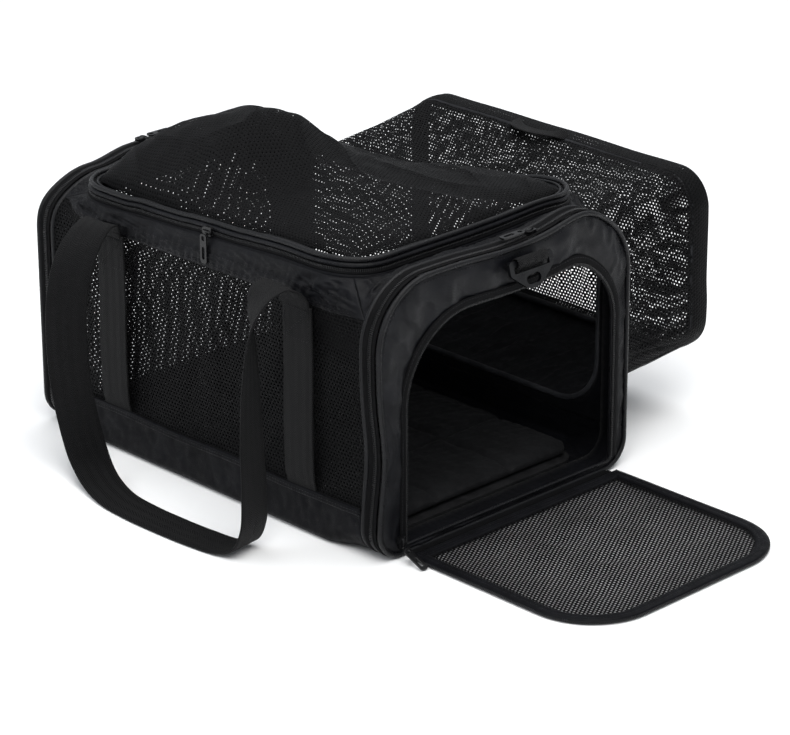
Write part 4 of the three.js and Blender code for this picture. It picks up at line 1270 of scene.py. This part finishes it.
def build_mouth():
    """The far side's cloth round the tent's mouth, and the binding of its edge."""
    x = np.linspace(-BODY_REACH, BODY_REACH, 80)
    top = far_top(x) + 1.0
    lower = np.full_like(x, 31.0)
    edge_top = np.stack([x[::-1], top[::-1]], axis=1)
    loop = np.vstack([np.stack([x, lower], axis=1), edge_top])
    loop = resampled(loop, 5.0, True)
    angle = np.arctan2(loop[:, 1] - 134.0, loop[:, 0])
    mouth, _ = rounded(MOUTH, 0.0, 2.0)
    mouth_angle = np.arctan2(mouth[:, 1] - 134.0, mouth[:, 0])
    order = np.argsort(mouth_angle)
    inner = np.stack([
        np.interp(angle, mouth_angle[order], mouth[order, k], period=math.tau) for k in range(2)
    ], axis=1)
    across = np.linspace(0, 1, 6)
    flat = mix(loop[:, None, :], inner[:, None, :], across[None, :, None])
    x, z = flat[..., 0], flat[..., 1]
    y = wall_reach(x, z) - 0.5 * np.abs(rolling(x, z, 191, 60.0))
    cloth("far_mouth_cloth", settled(at_side(flat, y)), OXFORD, "cabin", "oxford_fabric", "far_mouth_panel",
          wrap=LOOP, thick=FABRIC, offset=1.0)
    flat, out = rounded(MOUTH, 1.6, 3.0)
    path, out = at_side(flat, 150.6), at_side(out, 0.0)
    profile = [
        (1.4, -1.6), (1.4, 1.3), (0.2, 1.7), (-2.2, 1.5),
        (-3.2, 0.6), (-3.2, -0.8), (-2.2, -1.7), (0.2, -1.9),
    ]
    tape = settled(swept(path, out, AXIS_Y, profile))
    cloth("far_mouth_tape", tape, BINDING, "cabin", "piping", "far_mouth_binding", wrap=TUBE)


# ---- straps ----
HANDLE_ROUTE = [
    [126, -156.6, 208.5, 180], [126, -157.6, 215, 180], [127, -165, 225, 177],
    [129, -181, 233, 170], [132, -198, 229, 160], [133, -209, 214, 144], [134, -213, 190, 126],
    [134, -214, 150, 113], [134, -214, 100, 107], [135, -213, 58, 103], [133, -213, 28, 100],
    [124, -215, 9, 97], [106, -219, 2.6, 94], [74, -223, 1.7, 92], [36, -225, 1.6, 91],
    [0, -225, 1.6, 88], [-34, -222, 2.2, 82], [-66, -214, 7, 74], [-88, -207, 18, 64],
    [-100, -206, 41, 54], [-107, -210, 85, 48], [-108, -212, 132, 46], [-107, -210, 168, 44],
    [-105, -204, 194, 38], [-106, -191, 213, 26], [-109, -176, 223, 12], [-113, -164, 222, 3],
    [-115, -157.6, 215, 0], [-115, -156.6, 208.5, 0],
]


def build_handle():
    obj = build_strap("carry_handle_strap", HANDLE_ROUTE, WEB_WIDTH, 1.9, 360, WEB, "cabin",
                      "handle_front_root", "carry_handle", "handle_rear_root")
    obj.parent = None
    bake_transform(obj)
    for name, x in (("front", 126.0), ("rear", -115.0)):
        height = np.linspace(38.0, 209.0, 24)
        tuck = 2.6 * smooth((58.0 - height) / 18.0)
        route = [[x, -153.4 + 0.5 * math.sin(z / 21.0) + t, z, 180] for z, t in zip(height, tuck)]
        # The side straps use the darker webbing copy: painted shade.
        build_strap(f"near_strap_{name}_web", route, WEB_WIDTH, 1.8, 60, WEB_PAINTED_SHADE, "cabin",
                    f"near_strap_{name}")
        build_box_stitch(f"near_strap_{name}_stitches", x)


def build_box_stitch(name, x):
    """A sewn square with a cross in it, where the handle meets the side strap."""
    low, high, half, y = 178.0, 205.0, 14.5, -154.75
    corners = [(-half, low), (half, low), (half, high), (-half, high), (-half, low), (half, high)]
    line = resampled(np.array([[x + a, y, b] for a, b in corners]), 2.0, False)
    up = np.tile([0.0, -1.0, 0.0], (len(line), 1))
    stitches(name, line, up, False, "cabin", "webbing", BOX_STITCH_PITCH, BOX_STITCH_SIZE)


def build_anchor(end, way):
    """A webbing loop sewn to the frame, round the bar of the strap ring."""
    loop = np.array([
        [222.7, 217.2], [222.9, 219.4], [223.3, 223.0], [224.0, 228.0], [225.4, 232.6], [228.3, 234.2],
        [231.2, 232.4], [231.9, 229.4], [230.3, 226.2], [227.4, 224.9], [225.9, 222.0], [225.4, 219.4],
        [225.2, 217.2],
    ])
    route = [[way * p[0], way * 18.0, p[1] + 0.6, 90] for p in loop]
    build_strap(f"{end}_anchor_web", route, WEB_WIDTH, 1.3, 60, WEB, "cabin", f"{end}_strap_anchor")
    centre = np.array([[way * 226.3, way * 18.0 + s, 220.0] for s in (-14.0, 14.0)])
    line = resampled(centre, 1.0, False)
    up = np.tile([float(way), 0.0, 0.0], (len(line), 1))
    name = f"{end}_anchor_stitches"
    stitches(name, line, up, False, "cabin", "webbing", BOX_STITCH_PITCH, BOX_STITCH_SIZE)


# ---- hardware ----
def plate(name, outline, holes, low, high):
    """An extruded outline with holes, in its own plane."""
    curve = bpy.data.curves.new(name, "CURVE")
    curve.dimensions = "2D"
    curve.fill_mode = "BOTH"
    for ring in [outline] + list(holes):
        spline = curve.splines.new("POLY")
        spline.points.add(len(ring) - 1)
        for point, (a, b) in zip(spline.points, ring):
            point.co = (a * MM, b * MM, 0.0, 1.0)
        spline.use_cyclic_u = True
    curve.extrude = (high - low) / 2 * MM
    holder = bpy.data.objects.new(name, curve)
    bpy.context.scene.collection.objects.link(holder)
    bpy.context.view_layer.update()
    mesh = bpy.data.meshes.new_from_object(holder.evaluated_get(bpy.context.evaluated_depsgraph_get()))
    bpy.data.objects.remove(holder)
    bpy.data.curves.remove(curve)
    obj = bpy.data.objects.new(name, mesh)
    bpy.context.scene.collection.objects.link(obj)
    for vert in mesh.vertices:
        vert.co.z += (low + high) / 2 * MM
    return obj


def rounded_ring(left, right, bottom, top, radius, steps=8):
    return np.vstack([
        corner(right - radius, bottom + radius, radius, -math.pi / 2, steps),
        corner(right - radius, top - radius, radius, 0, steps),
        corner(left + radius, top - radius, radius, math.pi / 2, steps),
        corner(left + radius, bottom + radius, radius, math.pi, steps),
    ])


def placed(obj, origin, x, y, z):
    """Moves a mesh from its own axes to an origin in mm and the axes x, y and z."""
    matrix = np.eye(4)
    for k, column in enumerate((x, y, z)):
        matrix[:3, k] = column
    matrix[:3, 3] = np.array(origin) * MM
    obj.data.transform(Matrix(matrix.tolist()))
    return obj


def build_slider(prefix, body, tab_body, basis, tab_basis, *, body_node, tab_node):
    """A zipper slider: two plates joined by a post, a bridge over them, and a pull tab."""
    nose = [
        (-5.6, -2.0), (-2.6, -3.9), (3.6, -4.0), (5.6, -3.1),
        (5.6, 3.1), (3.6, 4.0), (-2.6, 3.9), (-5.6, 2.0),
    ]
    top = plate(f"{prefix}_top", nose, [], 2.3, 3.3)
    bottom = plate(f"{prefix}_low", nose, [], 0.0, 0.9)
    post = plate(f"{prefix}_post", rounded_ring(-4.8, -2.2, -0.9, 0.9, 0.8, 3), [], 0.9, 2.3)
    cheeks = [
        plate(f"{prefix}_cheek", rounded_ring(-1.0, 5.0, s * 3.5 - 0.4, s * 3.5 + 0.4, 0.35, 3), [], 0.9, 2.3)
        for s in (-1, 1)
    ]
    arch = np.array([
        [t, 0.0, 3.2 + 1.5 * math.sin(math.pi * (t + 4.4) / 8.8) ** 0.6] for t in np.linspace(-4.4, 4.4, 14)
    ])
    profile = [(-1.0, 0.0), (-0.8, 0.35), (0.8, 0.35), (1.0, 0.0), (0.8, -0.35), (-0.8, -0.35)]
    bridge = lattice(f"{prefix}_bridge", swept(arch, np.tile(AXIS_Y, (14, 1)), AXIS_Z, profile), False, True)
    obj = joined(f"{prefix}_slider_metal", [top, bottom, post, *cheeks, bridge])
    placed(obj, *basis)
    piece(bevelled(obj, 0.22), METAL, body, "metal_hardware", body_node)
    hole = rounded_ring(-1.9, 1.9, -6.6, -2.4, 1.4)
    slot = rounded_ring(-1.7, 1.7, -23.5, -12.0, 1.6)
    outline = rounded_ring(-4.0, 4.0, -27.0, -0.6, 3.2)
    waist = outline.copy()
    waist[:, 0] *= 1.0 - 0.22 * np.exp(-(((outline[:, 1] + 9.0) / 3.5) ** 2))
    tab = plate(f"{prefix}_tab_metal", waist, [hole, slot], -0.75, 0.75)
    placed(tab, *tab_basis)
    piece(bevelled(tab, 0.3), METAL, tab_body, "metal_hardware", tab_node)


def build_sliders():
    build_slider(
        "roof", "roof_zip", "roof_zip_tab",
        (resting([8.0, -145.3, 245.9]), (1, 0, 0), (0, 0, 1), (0, -1, 0)),
        (resting([8.0, -151.9, 244.85]), (1, 0, 0), (0, 0, 1), (0, -1, 0)),
        body_node="roof_slider", tab_node="roof_pull_tab",
    )
    for end, way in (("front", 1), ("rear", -1)):
        build_slider(
            f"{end}_gusset", f"{end}_gusset_zip", f"{end}_gusset_tab",
            ([way * GUSSET_X, way * 36.0, 244.3], (0, way, 0), (-way, 0, 0), (0, 0, 1)),
            ([way * GUSSET_X, way * 29.0, 247.7], (-way, 0, 0), (0, way, 0), (0, 0, -1)),
            body_node=f"{end}_gusset_slider", tab_node=f"{end}_gusset_pull_tab",
        )
    sine, cosine = math.sin(math.radians(23.0)), math.cos(math.radians(23.0))
    build_slider(
        "door", "door_zip", "door_zip_tab",
        ([222.8, -129.7, 16.0], (0, 0, 1), (0, -1, 0), (1, 0, 0)),
        ([228.6, -129.7, 12.0], (0, 1, 0), (-cosine, 0, sine), (sine, 0, cosine)),
        body_node="door_slider", tab_node="door_pull_tab",
    )


def build_rings():
    for end in ("front", "rear"):
        bevelled(repaint(f"{end}_strap_ring", PLASTIC), 0.7, 3)


# ---- base pad ----
def build_base_pad():
    """The pad inside: swollen by a cloth simulation, then tufted along sewn lines."""
    low, high = (np.array(c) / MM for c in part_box("base_mat"))
    inset = 5.0
    outline = rounded_ring(low[0] + inset, high[0] - inset, low[1] + inset, high[1] - inset, 20.0, 12)
    pad = plate("base_pad_cushion", outline, [], low[2] + 2.2, high[2] - 3.4)
    swell(pad, 5.0, 4.0, 4.0)
    mesh = pad.data
    points = np.array([v.co[:] for v in mesh.vertices]) / MM
    upper = smooth((points[:, 2] - (low[2] + 5.0)) / 4.0)
    lines = np.zeros(len(points))
    for x in (-95.0, 0.0, 95.0):
        lines = np.maximum(lines, bell((points[:, 0] - x) / 3.4))
    for y in (-45.0, 45.0):
        lines = np.maximum(lines, bell((points[:, 1] - y) / 3.4))
    ruck = rolling(points[:, 0], points[:, 1], 201, 34.0) * 0.7
    points[:, 2] += upper * (ruck - 3.2 * lines)
    points[:, 2] = np.clip(points[:, 2], low[2] - 0.1, high[2] + 4.5)
    mesh.vertices.foreach_set("co", (points * MM).ravel())
    mesh.polygons.foreach_set("use_smooth", [True] * len(mesh.polygons))
    layer = mesh.uv_layers.new(name="UVMap") if not mesh.uv_layers else mesh.uv_layers[0]
    layer.name = "UVMap"
    index = np.empty(len(mesh.loops), np.int32)
    mesh.loops.foreach_get("vertex_index", index)
    layer.data.foreach_set("uv", points[index][:, :2].astype(np.float32).ravel())
    piece(pad, PAD, "cabin", "base_pad", "base_mat")


def swell(obj, voxel, pressure, cap):
    """Remeshes a pad and puffs it up with Blender's cloth, moving no point further than cap mm."""
    scene = bpy.context.scene
    bpy.context.view_layer.objects.active = obj
    remesh = obj.modifiers.new("Remesh", "REMESH")
    remesh.mode = "VOXEL"
    remesh.voxel_size = voxel * MM
    bpy.ops.object.select_all(action="DESELECT")
    obj.select_set(True)
    bpy.ops.object.modifier_apply(modifier=remesh.name)
    start = np.array([v.co[:] for v in obj.data.vertices])
    cloth = obj.modifiers.new("Cloth", "CLOTH")
    cloth.settings.use_pressure = True
    cloth.settings.uniform_pressure_force = pressure
    cloth.settings.effector_weights.gravity = 0.0
    for number in range(1, 21):
        scene.frame_set(number)
    puffed = obj.evaluated_get(bpy.context.evaluated_depsgraph_get()).data
    end = np.array([v.co[:] for v in puffed.vertices])
    move = end - start
    far = np.linalg.norm(move, axis=1, keepdims=True)
    end = start + move * np.minimum(1.0, cap * MM / np.maximum(far, 1e-9))
    obj.modifiers.remove(cloth)
    obj.data.vertices.foreach_set("co", end.ravel())
    subdivide = obj.modifiers.new("Finer", "SUBSURF")
    subdivide.levels = subdivide.render_levels = 1
    bpy.ops.object.modifier_apply(modifier=subdivide.name)
    scene.frame_set(1)


# ---- studio ----
def area_light(name, place, aim, size, power, tint=(1.0, 1.0, 1.0)):
    data = bpy.data.lights.new(name, "AREA")
    data.shape = "RECTANGLE"
    data.size, data.size_y = size
    data.energy = power
    data.color = tint
    obj = bpy.data.objects.new(name, data)
    bpy.context.scene.collection.objects.link(obj)
    obj.location = place
    obj.rotation_euler = (Vector(aim) - Vector(place)).to_track_quat("-Z", "Y").to_euler()


def build_studio():
    scene = bpy.context.scene
    scene.view_settings.view_transform = "Standard"
    world = bpy.data.worlds.new("studio")
    world.use_nodes = True
    background = world.node_tree.nodes["Background"]
    background.inputs["Color"].default_value = (0.93, 0.96, 1.0, 1.0)
    background.inputs["Strength"].default_value = 0.5
    scene.world = world
    reach = 9000
    square = [[-reach, -reach, 0], [reach, -reach, 0], [reach, reach, 0], [-reach, reach, 0]]
    floor = make_mesh("floor", square, [(0, 1, 2, 3)])
    n = Nodes("paper")
    floor.data.materials.append(n.finish(Base_Color=(0.93, 0.935, 0.94, 1.0), Roughness=0.9))
    area_light("key", (1.3, -0.9, 2.4), (0.0, 0.0, 0.1), (1.8, 1.8), 60.0, (1.0, 0.99, 0.97))
    area_light("fill", (-1.6, -2.2, 1.6), (0.0, 0.0, 0.1), (2.2, 1.4), 28.0, (0.95, 0.97, 1.0))
    area_light("top", (-0.2, 0.6, 2.6), (0.0, 0.0, 0.2), (2.4, 2.0), 42.0)


CAMERA_ANGLES = (45.92, 22.09, -0.2)
CAMERA_LENS, CAMERA_DISTANCE = 155.4, 3.112
CAMERA_AIM = np.array([0.0, 0.08095, 0.04866])


def build_camera():
    """A long lens, 3.1 m away, turned about 46 degrees round and 22 degrees up."""
    data = bpy.data.cameras.new("camera")
    data.sensor_width = 36.0
    data.lens = CAMERA_LENS
    data.clip_end = 60.0
    camera = bpy.data.objects.new("camera", data)
    bpy.context.scene.collection.objects.link(camera)
    turn, rise, roll = (math.radians(a) for a in CAMERA_ANGLES)
    back = np.array([
        math.sin(turn) * math.cos(rise), -math.cos(turn) * math.cos(rise), math.sin(rise),
    ])
    right = np.array([math.cos(turn), math.sin(turn), 0.0])
    up = np.cross(back, right)
    across = right * math.cos(roll) + up * math.sin(roll)
    over = np.cross(back, across)
    matrix = np.eye(4)
    matrix[:3, 0], matrix[:3, 1], matrix[:3, 2] = across, over, back
    matrix[:3, 3] = CAMERA_AIM + CAMERA_DISTANCE * back
    camera.matrix_world = Matrix(matrix.tolist())
    bpy.context.scene.camera = camera


build_camera()
build_studio()
for end, way in (("front", 1), ("rear", -1)):
    build_end_frame(end, way)
    build_padded_ring(end, way)
    build_anchor(end, way)
build_opening_zipper()
build_rear_window()
build_near_window()
build_lower_bands()
build_shoulders()
build_floor_pieces()
build_roof_rim()
build_roof_flap_edge()
build_roof_net()
build_door()
build_mouth()
build_tent_walls()
build_tent_panel()
build_pull_loop()
build_handle()
build_rings()
build_sliders()
build_base_pad()
